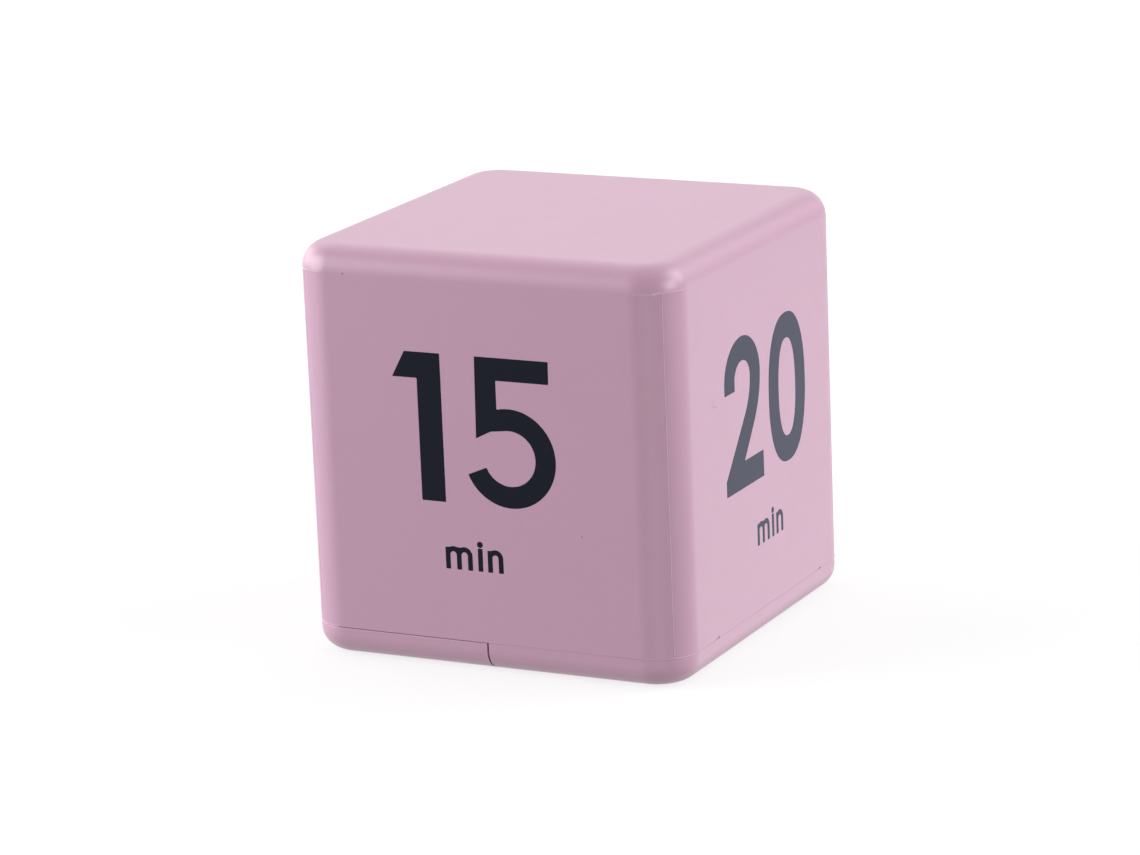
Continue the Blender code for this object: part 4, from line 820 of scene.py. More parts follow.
def segment(start, end):
    """A pointed display segment between two corners of a digit, read from below along Y."""
    (ax, ay), (bx, by) = start, end
    length = math.hypot(bx - ax, by - ay)
    along = ((bx - ax) / length, (by - ay) / length)
    across = (-along[1] * SEGMENT_T / 2, along[0] * SEGMENT_T / 2)
    tip, edge = SEGMENT_SPLIT, SEGMENT_SPLIT + SEGMENT_T / 2
    corners = ((tip, 0), (edge, 1), (length - edge, 1), (length - tip, 0), (length - edge, -1), (edge, -1))
    outline = [(ax + along[0] * r + across[0] * s, ay + along[1] * r + across[1] * s) for r, s in corners]
    return prism(outline, *GHOST_SPAN)


digits = []
x0, x1, x2 = middle.x - SEGMENT_H / 2, middle.x, middle.x + SEGMENT_H / 2
for n in range(4):
    colon = COLON_ROOM / 2 if n > 1 else -COLON_ROOM / 2
    y0 = middle.y + (n - 2) * DIGIT_PITCH + colon + (DIGIT_PITCH - SEGMENT_W) / 2
    y1 = y0 + SEGMENT_W
    pairs = [((x, y0), (x, y1)) for x in (x0, x1, x2)]
    pairs += [((low, y), (high, y)) for y in (y0, y1) for low, high in ((x0, x1), (x1, x2))]
    digits += [segment(*pair) for pair in pairs]
digits += [peg(SEGMENT_T / 2, x, middle.y, *GHOST_SPAN, 24) for x in about(middle.x, SEGMENT_H / 5)]
dress(joined(digits), "display_digits", ghost)

# Display holder: a frame moulded in white ABS that centres the display glass under the board. The screwed
# board presses it down.
HOLDER_R = 0.5 * MM
HOLDER_EDGE_R = 0.1 * MM
HOLDER_WALL = 1.2 * MM
HOLDER_NOTCH = (3.0 * MM, 0.8 * MM)
HOLDER_LOW, HOLDER_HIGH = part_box("display_holder")
# White ABS straight from the mould: satin and faintly milky
MILKY = {"IOR": 1.54, "Subsurface Weight": 0.05, "Subsurface Scale": MM}
white_abs = finish("moulded_white_abs", "E4E2DC", MILKY, 0.02)
holder = block(HOLDER_LOW, HOLDER_HIGH, HOLDER_R, HOLDER_EDGE_R, HOLDER_EDGE_R)
wall = Vector((HOLDER_WALL, HOLDER_WALL, -OVERRUN))
cuts = [block(HOLDER_LOW + wall, HOLDER_HIGH - wall)]
for y in (HOLDER_LOW.y, HOLDER_HIGH.y):
    low = Vector((middle.x - HOLDER_NOTCH[0], y - OVERRUN, HOLDER_HIGH.z - HOLDER_NOTCH[1]))
    cuts.append(block(low, low + Vector((2 * HOLDER_NOTCH[0], 2 * OVERRUN + HOLDER_WALL, OVERRUN))))
carve(holder, cuts=cuts)
dress(holder, "holder", white_abs, "display_holder")

# Contact strip: silicone rubber in thin layers, by turns insulating and filled with carbon, squeezed between
# the display glass and the board. Its layers are drawn 0.5 mm thick, coarser than the real 0.1 mm.
STRIP_LAYER = 0.5 * MM
STRIP_R = 0.35 * MM
LAYER_RELIEF = 4 * MICRON
zebra, tree, shader, place = surface("layered_silicone_strip", {"IOR": 1.41, "Roughness": 0.62})
spot = add(tree, "ShaderNodeSeparateXYZ", {"Vector": place}).outputs["Y"]
layer = add(tree, "ShaderNodeMath", {0: spot, 1: 2 * STRIP_LAYER}, operation="FLOORED_MODULO").outputs[0]
dark = add(tree, "ShaderNodeMath", {0: layer, 1: STRIP_LAYER}, operation="LESS_THAN").outputs[0]
tones = {"Factor": dark, "A": linear("8E8A86"), "B": linear("222224")}
tone = add(tree, "ShaderNodeMix", tones, data_type="RGBA")
tree.links.new(tone.outputs["Result"], shader.inputs["Base Color"])
bump = add(tree, "ShaderNodeBump", {"Height": dark, "Distance": LAYER_RELIEF, "Strength": 1})
tree.links.new(bump.outputs["Normal"], shader.inputs["Normal"])
strip = block(*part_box("contact_strip"), 0, STRIP_R, STRIP_R, (2, 4))
dress(strip, "zebra_strip", zebra, "contact_strip")

# Slide switch: a steel frame, stamped and folded round a black terminal block and closed against the board.
# Eight tinned pins stand out of the block.
SHEET = 0.5 * MM
FRAME_R = 0.7 * MM
FOLD_R = 0.35 * MM
BLOCK_R = 0.3 * MM
BLOCK_EDGE_R = 0.1 * MM
PIN = (0.25 * MM, 0.15 * MM)
PIN_PITCH = 2.5 * MM
PIN_ROW = 1.4 * MM
PIN_TIP = 0.35 * MM
PIN_EDGE_R = 0.08 * MM
METAL = {"Metallic": 1.0}
# Nickel-plated cold-rolled steel: a fine rolling grain runs along it, so its gloss is drawn out a little
drawn_out = {**METAL, "Anisotropic": 0.35}
nickel = finish("nickel_plated_steel", "B9B6AE", drawn_out, 0.05, 3, (0.22, 0.36), 0.15, 1.5)
# Phenolic moulding: black, matt, with the dusty look of its filler
phenolic = finish("moulded_black_phenolic", "1A1917", {"IOR": 1.6}, 0.12, 1.5, (0.5, 0.7), 0.2, 5)
# Tin plate: bright, with the soft flow of a dipped coat
tin = finish("bright_tin_plate", "C9C9C6", METAL, 0.05, 1, (0.18, 0.34), 0.2, 2)
low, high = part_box("switch_frame")
sheet = Vector((SHEET, SHEET, SHEET))
slide_frame = block(low, high, FRAME_R, 0, FOLD_R, (6, 4))
room = block(low + sheet, high - sheet + Vector((0, 0, 2 * OVERRUN)), FRAME_R - SHEET)
carve(slide_frame, cuts=[room, slab(*KNOB_SPANS, (low.z - OVERRUN, low.z + 2 * OVERRUN), KNOB_SLOT_R)])
dress(slide_frame, "slide_frame", nickel, "switch_frame")
low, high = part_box("switch_terminals")
terminals = block(low, high, BLOCK_R, BLOCK_EDGE_R, BLOCK_EDGE_R)
dress(terminals, "terminal_block", phenolic, "switch_terminals")
pins = []
for n in (-1.5, -0.5, 0.5, 1.5):
    for side in (-1, 1):
        pin = (about(PANEL_X + n * PIN_PITCH, PIN[0]), about(SWITCH_Y + side * PIN_ROW, PIN[1]))
        pins.append(slab(*pin, (high.z - BITE, high.z + PIN_TIP), 0, PIN_EDGE_R))
dress(joined(pins), "switch_pins", tin)

# Switch knob: moulded in black acetal, a grooved finger on a wide wafer. The wafer slides inside the frame,
# which keeps the knob in.
KNOB_HALF = (1.5 * MM, 1.2 * MM)
KNOB_TIP = 0.35 * MM
KNOB_R = 0.25 * MM
KNOB_TIP_R = 0.15 * MM
KNOB_GROOVE = 0.2 * MM
KNOB_GROOVE_DEPTH = 0.4 * MM
WAFER_HALF = 3.0 * MM
WAFER_Z = 4.0 * MM
WAFER_ROUNDS = (0.3 * MM, 0.1 * MM, 0.1 * MM)
# Moulded acetal: waxy black, a little glossier than the pink ABS
acetal = finish("moulded_black_acetal", "151517", {"IOR": 1.48}, 0.06, 3, (0.32, 0.45), 0.3, 1.5)
knob_x = (KNOB_LOW.x + KNOB_HIGH.x) / 2
knob = slab(about(knob_x, WAFER_HALF), (KNOB_LOW.y, KNOB_HIGH.y), (WAFER_Z, KNOB_HIGH.z), *WAFER_ROUNDS)
finger = (about(knob_x, KNOB_HALF[0]), about(SWITCH_Y, KNOB_HALF[1]), (KNOB_TIP, WAFER_Z + 2 * BITE))
finger = slab(*finger, KNOB_R, 0, KNOB_TIP_R, (5, 3))
cuts = []
for step in (-1, 0, 1):
    groove = (about(knob_x + step * KNOB_HALF[0] / 2, KNOB_GROOVE), about(SWITCH_Y, 2 * OVERRUN))
    cuts.append(slab(*groove, (0, KNOB_TIP + KNOB_GROOVE_DEPTH), 0, KNOB_TIP_R))
carve(knob, joins=[finger], cuts=cuts)
dress(knob, "slide_knob", acetal, "switch_knob", "switch")

# Circuit board: 1.2 mm glass-epoxy under green solder mask, with tinned pads and copper tracks. It rests on
# the display holder and four bosses.
BOARD_R = 1.5 * MM
BOARD_EDGE_R = 0.05 * MM
CLOTH = 0.6 * MM
CLOTH_RELIEF = 1.5 * MICRON
TRACK_T = 0.02 * MM
TRACK_W = 0.22 * MM
PAD_R = 0.9 * MM
PAD_HOLE_R = 1.1 * MM
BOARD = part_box("circuit_board")
BOARD_TOP = BOARD[1].z
BOARD_HALF = (BOARD[1] - BOARD[0]) / 2
TRACK_SPAN = about(BOARD_TOP, TRACK_T)
PAD_X = 5.2 * MM
WIRE_PADS = [(PAD_X, y * MM) for y in (-16.5, -20.0, -3.0, -6.0)]

# Solder mask: glossy green lacquer over woven glass, whose cloth shows as a faint check
lacquer = {"IOR": 1.5, "Coat Weight": 0.3}
mask, tree, shader, place = surface("green_solder_mask", {**lacquer, "Coat Roughness": 0.2})
mottled(tree, shader, place, "1D5A38", 0.10, 5 * MM, (0.3, 0.42), 2 * MM)
weave = add(tree, "ShaderNodeTexChecker", {"Vector": place, "Scale": 1 / CLOTH})
bump = {"Height": weave.outputs["Fac"], "Distance": CLOTH_RELIEF, "Strength": 1}
tree.links.new(add(tree, "ShaderNodeBump", bump).outputs["Normal"], shader.inputs["Normal"])


def on_board(across, along):
    """A place on the board from shares of its half width and half length."""
    return Vector((PANEL_X + across * BOARD_HALF.x, along * BOARD_HALF.y, BOARD_TOP))


def track(*places):
    """A copper track under the mask, in straight stretches between places."""
    made = []
    for start, end in zip(places, places[1:]):
        start, end = Vector(start[:2]), Vector(end[:2])
        side = (end - start).orthogonal().normalized() * TRACK_W / 2
        outline = [start + side, start - side, end - side, end + side]
        made.append(prism([tuple(p) for p in outline], *TRACK_SPAN))
        made.append(peg(TRACK_W / 2, *end, *TRACK_SPAN, 16))
    return made


board = block(*BOARD, BOARD_R, BOARD_EDGE_R, BOARD_EDGE_R)
hole = (BOARD[0].z - OVERRUN, BOARD_TOP + OVERRUN)
carve(board, cuts=[peg(PAD_HOLE_R, spot.x, spot.y, *hole) for spot in BOARD_SCREWS])
dress(board, "board", mask, "circuit_board")

CHIP = on_board(0, 0)
CRYSTAL = on_board(-0.67, 0.16)
COIL = on_board(0.59, -0.34)
CAPACITOR = on_board(-0.46, -0.45)
TRANSISTOR = on_board(0.04, -0.40)
tracks = []
for n, (x, y) in enumerate(WIRE_PADS):
    bend_x = x + (2 + n) * MM
    bends = ((bend_x, y + 1.5 * MM), (bend_x, CHIP.y - 4 * MM))
    tracks += track((x, y), *bends, (CHIP.x - 2 * MM + n * MM, CHIP.y))
for n in range(5):
    x = CHIP.x + (n - 2) * MM
    tracks += track((x, CHIP.y), (x, CHIP.y + 6 * MM + n * MM), (CHIP.x + (n - 2) * 2.2 * MM, 24 * MM))
tracks += track(CRYSTAL, (CRYSTAL.x, CRYSTAL.y - 2 * MM), (CHIP.x - 3 * MM, CHIP.y + 1 * MM))
tracks += track(COIL, (COIL.x, CHIP.y - 2 * MM), (CHIP.x + 3 * MM, CHIP.y))
tracks += track(CAPACITOR, (CAPACITOR.x, TRANSISTOR.y), TRANSISTOR)
# The mask where copper lies under it: a lighter green
light_mask = finish("green_mask_over_copper", "2F7448", lacquer, 0.08, 3, (0.3, 0.4))
dress(joined(tracks), "board_tracks", light_mask)
pads = [peg(PAD_R, x, y, BOARD_TOP - TRACK_T, BOARD_TOP + 2 * TRACK_T) for x, y in WIRE_PADS]
dress(joined(pads), "board_pads", tin)

# Screws: four pan-head tapping screws for the board, two larger ones for the case, rolled from wire, nickel
# plated, with a cross recess
THREAD_PITCH_SHARE = 0.55
THREAD_DEPTH_SHARE = 0.22
BRIM_SHARE = 0.35
RECESS_SHARES = (0.55, 0.13)
# Each kind's name and count, and its head's radius and height and its shank's radius and length
SCREWS = {
    "board": ("small", 4, (1.7 * MM, 1.2 * MM, 0.8 * MM, 5.5 * MM)),
    "case": ("large", 2, (2.5 * MM, 1.5 * MM, 1.3 * MM, 10 * MM)),
}


def turned(profile, sides=48, radius=1, height=1):
    """Spins a closed outline of radii and heights about Z. Points on the axis become one."""
    shape = bmesh.new()
    points = [shape.verts.new((radius * reach, 0, height * rise)) for reach, rise in profile]
    edges = [shape.edges.new((a, b)) for a, b in zip(points, points[1:] + points[:1])]
    path = {"axis": (0, 0, 1), "cent": (0, 0, 0), "angle": math.tau}
    bmesh.ops.spin(shape, geom=points + edges, steps=sides, use_merge=True, **path)
    bmesh.ops.remove_doubles(shape, verts=shape.verts, dist=1 * MICRON)
    return solid(shape)


def stand(node):
    """The move to the middle of a node's foot, half its width, and its height."""
    low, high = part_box(node)
    return shift((low.x + high.x) / 2, (low.y + high.y) / 2, low.z), (high.x - low.x) / 2, high.z - low.z


def screw(head_r, head_h, shank_r, shank_l):
    """A pan-head screw, its head up and its thread down from z = 0 to the point."""
    rises = [(a, BRIM_SHARE + (1 - BRIM_SHARE) * math.sin(a)) for a in (1.2, 0.9, 0.6, 0.3, 0)]
    dome = [(head_r * math.cos(a), head_h * rise) for a, rise in rises]
    root, pitch = shank_r * (1 - THREAD_DEPTH_SHARE), shank_r * THREAD_PITCH_SHARE
    profile = [(0, head_h), *dome, (head_r, 0), (root, 0)]
    z, taper = -pitch, 3 * pitch
    while z > taper - shank_l - 2 * pitch:
        crest = [(shank_r, z - pitch * 0.35), (shank_r, z - pitch * 0.5)]
        profile += [(root, z), *crest, (root, z - pitch * 0.85)]
        z -= pitch
    profile += [(root * 0.8, z), (0, -shank_l)]
    reach, width = (head_r * share for share in RECESS_SHARES)
    depth = (head_h * BRIM_SHARE, head_h + OVERRUN)
    arms = ((reach, width), (width, reach))
    slots = [slab(about(0, u), about(0, v), depth, 0, 0, width * 0.6) for u, v in arms]
    return carve(turned(profile, 32), cuts=slots)


for kind, (size, count, sizes) in SCREWS.items():
    for n in range(1, count + 1):
        foot, _, height = stand(f"{kind}_screw_{n}")
        up = shift(0, 0, sizes[-1]) if kind == "board" else shift(0, 0, height - sizes[-1]) @ swing(180, "X")
        body = placed(screw(*sizes), foot @ up)
        dress(body, f"{size}_screw_{n}", nickel, f"{kind}_screw_{n}")

# Chip: a bare die, fixed to the board under a drop of black epoxy. The drop is poured and sets to a low
# glossy dome.
CHIP_R = 4.5 * MM
CHIP_H = 1.6 * MM
DROP = [(0, 1), (0.3, 0.985), (0.55, 0.9), (0.75, 0.72), (0.88, 0.48), (0.96, 0.22)]
DROP += [(1, 0.06), (0.995, 0), (0, 0)]
# Poured epoxy: deep black and glossy, with slow swells from its setting
POURED = {"IOR": 1.56, "Coat Weight": 0.5, "Coat Roughness": 0.08}
epoxy = finish("poured_black_epoxy", "0E0E10", POURED, 0.1, 4, (0.16, 0.3), 1.5, 30)
drop = placed(turned(DROP, 64, CHIP_R, CHIP_H), stand("chip_resin")[0])
dress(drop, "epoxy_drop", epoxy, "chip_resin")

# Crystal: a 32 kHz tuning fork in a small tinned can, drawn from sheet with one rounded end. It lies along
# the board.
low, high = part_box("crystal")
length = (high.y - low.y) / (high.x - low.x) * 2
profile = [(0, 0), (0.9, 0), (1, 0.15), (1, length - 0.5), (0.85, length - 0.15), (0.5, length), (0, length)]
lay = shift((low.x + high.x) / 2, low.y, (low.z + high.z) / 2) @ swing(-90, "X")
r = (high.x - low.x) / 2
dress(placed(turned(profile, 40, r, r), lay), "crystal_can", tin, "crystal")

# Coil: enamelled copper wire wound on a ferrite drum, which stands on the board. It lifts the cells'
# voltage for the buzzer.
WINDING_TURNS = 9
WINDING = (0.16, 0.84)
DRUM = [(0, 0), (0.93, 0), (1, 0.03), (1, 0.13), (0.96, 0.157), (0.6, 0.157)]
DRUM += [(0.6, 0.843), (0.96, 0.843), (1, 0.87), (1, 0.97), (0.93, 1), (0, 1)]
# Sintered ferrite: charcoal, matt and finely pitted
SINTERED = {"IOR": 2.0, "Specular IOR Level": 0.35}
ferrite = finish("sintered_ferrite", "2B2B2F", SINTERED, 0.12, 1, (0.5, 0.68), 0.15, 8)
# Enamelled copper: warm orange metal, bright under its clear varnish
varnished = {**METAL, "Coat Weight": 0.6}
copper = finish("enamelled_copper_wire", "B4643A", varnished, 0.08, 1, (0.22, 0.34), 0.2, 1)
foot, *sizes = stand("boost_coil")
dress(placed(turned(DRUM, 64, *sizes), foot), "coil_drum", ferrite, "boost_coil")
pitch = (WINDING[1] - WINDING[0]) / WINDING_TURNS
winding = [(0.55, WINDING[0])]
for n in range(WINDING_TURNS):
    for reach, step in ((0.74, 0.02), (0.785, 0.25), (0.795, 0.5), (0.785, 0.75)):
        winding.append((reach, WINDING[0] + (n + step) * pitch))
winding += [(0.74, WINDING[1]), (0.55, WINDING[1])]
dress(placed(turned(winding, 64, *sizes), foot), "coil_winding", copper)

# Capacitor: a wet aluminium can in a dark printed sleeve with a pale stripe down its minus side. The sleeve
# ends in a rolled lip round the scored top.
INK_T = 15 * MICRON
SLEEVE = [(0, 0), (0.9, 0), (1, 0.04), (1, 0.1), (0.965, 0.13), (0.965, 0.16), (1, 0.19), (1, 0.95)]
SLEEVE += [(0.97, 0.985), (0.9, 1), (0.83, 0.99), (0.8, 0.95), (0, 0.95)]
# Film shrunk on with heat: dark blue-grey, smooth, with a soft gloss
shrink = finish("shrunk_dark_sleeve", "20242E", {"IOR": 1.54}, 0.06, 2, (0.25, 0.36), 0.6, 3)
# Drawn aluminium: a pale bright metal, satin from the die
aluminium = finish("drawn_aluminium", "CFCFCD", METAL, 0.04, 1, (0.25, 0.38), 0.2, 1.5)
# Printed ink: pale grey, flatter than the film
pale = finish("printed_pale_stripe", "B9BCC2", {"IOR": 1.5}, 0.05, 2, (0.35, 0.45))
foot, r, height = stand("capacitor")
sleeve = placed(turned(SLEEVE, 64, r, height), foot)
dress(sleeve, "capacitor_sleeve", shrink, "capacitor")
top = peg(0.8 * r, 0, 0, 0.945 * height, 0.965 * height, 64)
arms, depth = ((0.6 * r, 0.05 * r), (0.05 * r, 0.6 * r)), (0.955 * height, height)
carve(top, cuts=[slab(about(0, u), about(0, v), depth) for u, v in arms])
dress(placed(top, foot), "capacitor_top", aluminium)
stripe = peg(r + INK_T, 0, 0, 0.2 * height, 0.94 * height, 64)
unprinted = slab(about(0, 2 * r), (-2 * r, 0.7 * r), (0, height))
carve(stripe, cuts=[unprinted, peg(0.95 * r, 0, 0, 0, height, 64)])
dress(placed(stripe, foot), "capacitor_stripe", pale)

# Transistor: a small D-shaped case moulded in black resin. It stands over the board on three tinned legs.
MOULD_ANGLE = math.radians(40)
MOULD_EDGE_R = 0.12 * MM
LEG_HALF = 0.2 * MM
LEG_PITCH = 1.2 * MM
low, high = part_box("transistor")
r = (high.x - low.x) / 2
centre = Vector(((low.x + high.x) / 2, high.y - r, low.z))
body = peg(r, 0, 0, 0, high.z - low.z, 64)
carve(body, cuts=[slab(about(0, 2 * r), (-2 * r, -0.5 * r), (-OVERRUN, high.z))])
shape = bmesh.new()
shape.from_mesh(body.data)
rounded(shape, [e for e in shape.edges if e.calc_face_angle(0) > MOULD_ANGLE], MOULD_EDGE_R, 2)
shape.to_mesh(body.data)
shape.free()
dress(placed(body, shift(*centre)), "transistor_case", phenolic, "transistor")
spans = [about(centre.x + n * LEG_PITCH, LEG_HALF) for n in (-1, 0, 1)]
pins = [slab(span, about(centre.y, LEG_HALF), (BOARD_TOP, low.z + BITE)) for span in spans]
dress(joined(pins), "transistor_legs", tin)

# Tilt switches: four drawn steel cans, each aimed at a numbered face and raised 10 degrees. A loose gilt ball
# rolls to the plug and joins its two pins when that face is turned up or down.
CAN_R = 2.5 * MM
CAN_L = 9.5 * MM
CAN_T = 0.4 * MM
CAN_RIM = 0.1 * MM
TILT = 10
# Each can's heading in degrees, and its place in shares of the board's half sizes
TILTS = {
    "front": (-90, 0.78, 0.61),
    "right": (0, -0.48, 0.76),
    "back": (90, 0.31, 0.47),
    "left": (180, -0.36, 0.5),
}
BALL_R = 1.7 * MM
BALL_TRAVEL = 2.0 * MM
PIN_R = 0.3 * MM
PIN_SPREAD = 0.9 * MM
PIN_OUT = 0.8 * MM
PLUG_OUT = 0.5 * MM
# Steel with a gilt flash: warm, polished nearly to a mirror
gilt = finish("gilt_steel_ball", "D0B27A", METAL, 0.04, 1, (0.12, 0.2), 0.2, 0.5)


def flowing(places, steps=12):
    """Points read from the smooth Catmull-Rom curve through places."""
    places = [Vector(p) for p in places]
    guides = [places[0] * 2 - places[1], *places, places[-1] * 2 - places[-2]]
    points = []
    for a, b, c, d in zip(guides, guides[1:], guides[2:], guides[3:]):
        for step in range(steps):
            t = step / steps
            pull = (2 * a - 5 * b + 4 * c - d) * t**2 + (3 * b - a - 3 * c + d) * t**3
            points.append((2 * b + (c - a) * t + pull) / 2)
    return points + [places[-1]]


def tube(points, radius, rings=3):
    """A round tube along points, as a mesh with filled ends."""
    line = bpy.data.curves.new("tube", "CURVE")
    line.dimensions = "3D"
    line.bevel_depth = radius
    line.bevel_resolution = rings
    line.use_fill_caps = True
    path = line.splines.new("POLY")
    path.points.add(len(points) - 1)
    for point, spot in zip(path.points, points):
        point.co = (*spot, 1)
    guide = bpy.data.objects.new("guide", line)
    bpy.context.scene.collection.objects.link(guide)
    shape = bmesh.new()
    shape.from_mesh(guide.to_mesh())
    guide.to_mesh_clear()
    bpy.data.objects.remove(guide)
    bmesh.ops.remove_doubles(shape, verts=shape.verts, dist=1 * MICRON)
    return solid(shape)


def disc(radius, low, high, edge):
    """The outline to turn of a disc with bevelled rims."""
    rim = [(radius - edge, low), (radius, low + edge), (radius, high - edge), (radius - edge, high)]
    return [(0, low), *rim, (0, high)]


lean = math.radians(TILT)
tilt_z = BOARD_TOP + GAP + CAN_R * math.cos(lean) + CAN_L / 2 * math.sin(lean)
back_x = CAN_T + GAP - CAN_L / 2
stop_x = back_x + 2 * BALL_R + BALL_TRAVEL + GAP
pin_x = CAN_L / 2 + PLUG_OUT + PIN_OUT
drop = (tilt_z + pin_x * math.sin(lean) - BOARD_TOP) / math.cos(lean) - PIN_R
bore = CAN_R - CAN_T
wall = [(0, 0), (CAN_R - 0.4 * MM, 0), (CAN_R - 0.12 * MM, 0.12 * MM), (CAN_R, 0.4 * MM)]
wall += [(CAN_R, CAN_L - 1.3 * MM), (CAN_R - 0.15 * MM, CAN_L - 1.1 * MM), (CAN_R, CAN_L - 0.9 * MM)]
wall += [(CAN_R, CAN_L - CAN_RIM), (CAN_R - CAN_RIM, CAN_L), (bore, CAN_L), (bore, CAN_T), (0, CAN_T)]
plug = disc(bore - GAP, stop_x + CAN_L / 2, CAN_L + PLUG_OUT, CAN_RIM)
for side, (heading, *shares) in TILTS.items():
    at = shift(*on_board(*shares).xy, tilt_z) @ swing(heading, "Z") @ swing(-TILT, "Y")
    lay = at @ swing(90, "Y") @ shift(0, 0, -CAN_L / 2)
    dress(placed(turned(wall), lay), f"ball_can_{side}", nickel, f"tilt_can_{side}")
    dress(placed(turned(plug), lay), f"ball_plug_{side}", phenolic, f"tilt_plug_{side}")
    routes = [[(CAN_L / 2, y, 0), (pin_x, y, 0), (pin_x, y, -drop)] for y in (-PIN_SPREAD, PIN_SPREAD)]
    pins = joined([tube(flowing(route, 8), PIN_R, 2) for route in routes])
    dress(placed(pins, at), f"ball_pins_{side}", tin)
    shape = bmesh.new()
    bmesh.ops.create_uvsphere(shape, u_segments=32, v_segments=20, radius=BALL_R)
    ball = placed(solid(shape), at @ shift(back_x + BALL_R, 0, 0))
    dress(ball, f"gilt_ball_{side}", gilt, f"tilt_ball_{side}", f"ball_{side}")

# Buzzer: a brass disc with a silvered ceramic layer, glued to the ledge of a black acetal cup. The cup
# stands on the bay's roof.
CUP_T = 1.1 * MM
CUP_HOLE_R = 1.5 * MM
CUP_FLOOR = 1.0 * MM
CUP_LEDGE = 1.9 * MM
CUP_FOOT_R = 0.3 * MM
CUP_RIMS = (0.2 * MM, 0.1 * MM)
DISC_EDGE = 0.05 * MM
LAYER_EDGE = 0.1 * MM
foot, r, height = stand("buzzer_cup")
inner_r, (rim, lip) = r - CUP_T, CUP_RIMS
wall = [(CUP_HOLE_R, 0), (r - CUP_FOOT_R, 0), (r, CUP_FOOT_R), (r, height - rim), (r - rim, height)]
wall += [(inner_r + lip, height), (inner_r, height - lip), (inner_r, CUP_LEDGE), (inner_r - MM, CUP_LEDGE)]
wall += [(inner_r - MM, CUP_FLOOR), (CUP_HOLE_R, CUP_FLOOR)]
dress(placed(turned(wall, 96), foot), "sound_cup", acetal, "buzzer_cup")
# Rolled brass, stamped: warm yellow, a little dulled by handling
brass = finish("stamped_rolled_brass", "C9A45C", METAL, 0.08, 4, (0.24, 0.38), 0.3, 1)
foot, r, height = stand("buzzer_disc")
stamped = placed(turned(disc(r, 0, height, DISC_EDGE), 96), foot)
dress(stamped, "brass_disc", brass, "buzzer_disc")
# Silver fired on ceramic: pale, dull and finely grained
silvered = finish("silver_fired_ceramic", "D6D6D2", {"Metallic": 0.7}, 0.04, 3, (0.42, 0.56), 0.15, 2)
foot, r, height = stand("buzzer_ceramic")
layer = [(0, 0), (r, 0), (r, height * 0.7), (r - LAYER_EDGE, height), (0, height)]
dress(placed(turned(layer, 96), foot), "silvered_layer", silvered, "buzzer_ceramic")

# Contacts: nickel-plated spring steel, a dimpled plate for each head and a conical spring for each foot, slid
# in at the bay's ends. Two tabs rise through its roof to the wires.
PLATE_T = 0.5 * MM
PLATE_HALF = 4.0 * MM
PLATE_H = 9.0 * MM
PLATE_R = 0.8 * MM
PLATE_EDGE_R = 0.08 * MM
DIMPLE_R = 2.2 * MM
SPRING_R = (3.1 * MM, 2.1 * MM)
SPRING_WIRE = 0.3 * MM
SPRING_TURNS = 3.5
SPRING_STEPS = 98
SPRING_L = 4.2 * MM
TAB_HALF = 1.25 * MM
TAB_R = 0.1 * MM
TAB_TOP = ROOF_TOP + 2.5 * MM
PLATE_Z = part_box("positive_contact")[0].z


def plate(low_x, high_x):
    """A contact plate, standing in the XZ plane with its cell side at y = 0 and its foot at z = 0."""
    flat = slab((low_x, high_x), (0, PLATE_H), (0, PLATE_T), PLATE_R, PLATE_EDGE_R, PLATE_EDGE_R)
    return placed(flat, swing(90, "X"))


def dimple(x):
    """The pressed bump that meets a cell's head."""
    rise = [(0, -PLATE_T / 2), (DIMPLE_R, -PLATE_T / 2), (DIMPLE_R * 0.9, 0), (DIMPLE_R * 0.6, GAP * 0.4)]
    return placed(turned(rise + [(0, GAP / 2)]), shift(x, 0, CELL_Z - PLATE_Z) @ swing(-90, "X"))


def spring(x):
    """A conical spring that narrows from the plate to the cell's foot."""
    points = []
    for share in (step / SPRING_STEPS for step in range(SPRING_STEPS + 1)):
        reach, angle = SPRING_R[0] + (SPRING_R[1] - SPRING_R[0]) * share, math.tau * SPRING_TURNS * share
        points.append((reach * math.cos(angle), reach * math.sin(angle), (SPRING_L - SPRING_WIRE) * share))
    return placed(tube(points, SPRING_WIRE), shift(x, -BITE, CELL_Z - PLATE_Z) @ swing(-90, "X"))


front_y = -BAY_HALF[1] + GAP + PLATE_T
for x, ending, node in ((CELL_X[0], dimple, "positive_contact"), (CELL_X[1], spring, "negative_contact")):
    tab = slab(about(0, TAB_HALF), (-PLATE_T, 0), (PLATE_H - BITE, TAB_TOP - PLATE_Z), TAB_R, TAB_R)
    body = placed(joined([plate(-PLATE_HALF, PLATE_HALF), ending(0), tab]), shift(x, front_y, PLATE_Z))
    dress(body, node.replace("contact", "spring_plate"), nickel, node)
span = (CELL_X[1] - CELL_X[0]) / 2
body = joined([plate(-span - PLATE_HALF, span + PLATE_HALF), dimple(-span), spring(span)])
body = placed(body, shift(BAY_X, -front_y, PLATE_Z) @ swing(180, "Z"))
dress(body, "link_plate", nickel, "link_contact")

# Cells: two plain AAA cells side by side, heads at opposite ends. A printed film sleeve, blue-grey with a
# silver band at the head, wraps a steel can whose ends stay bare.
CELL_BODY = 43.5 * MM
NUB_R = 1.9 * MM
NUB_H = 1.0 * MM
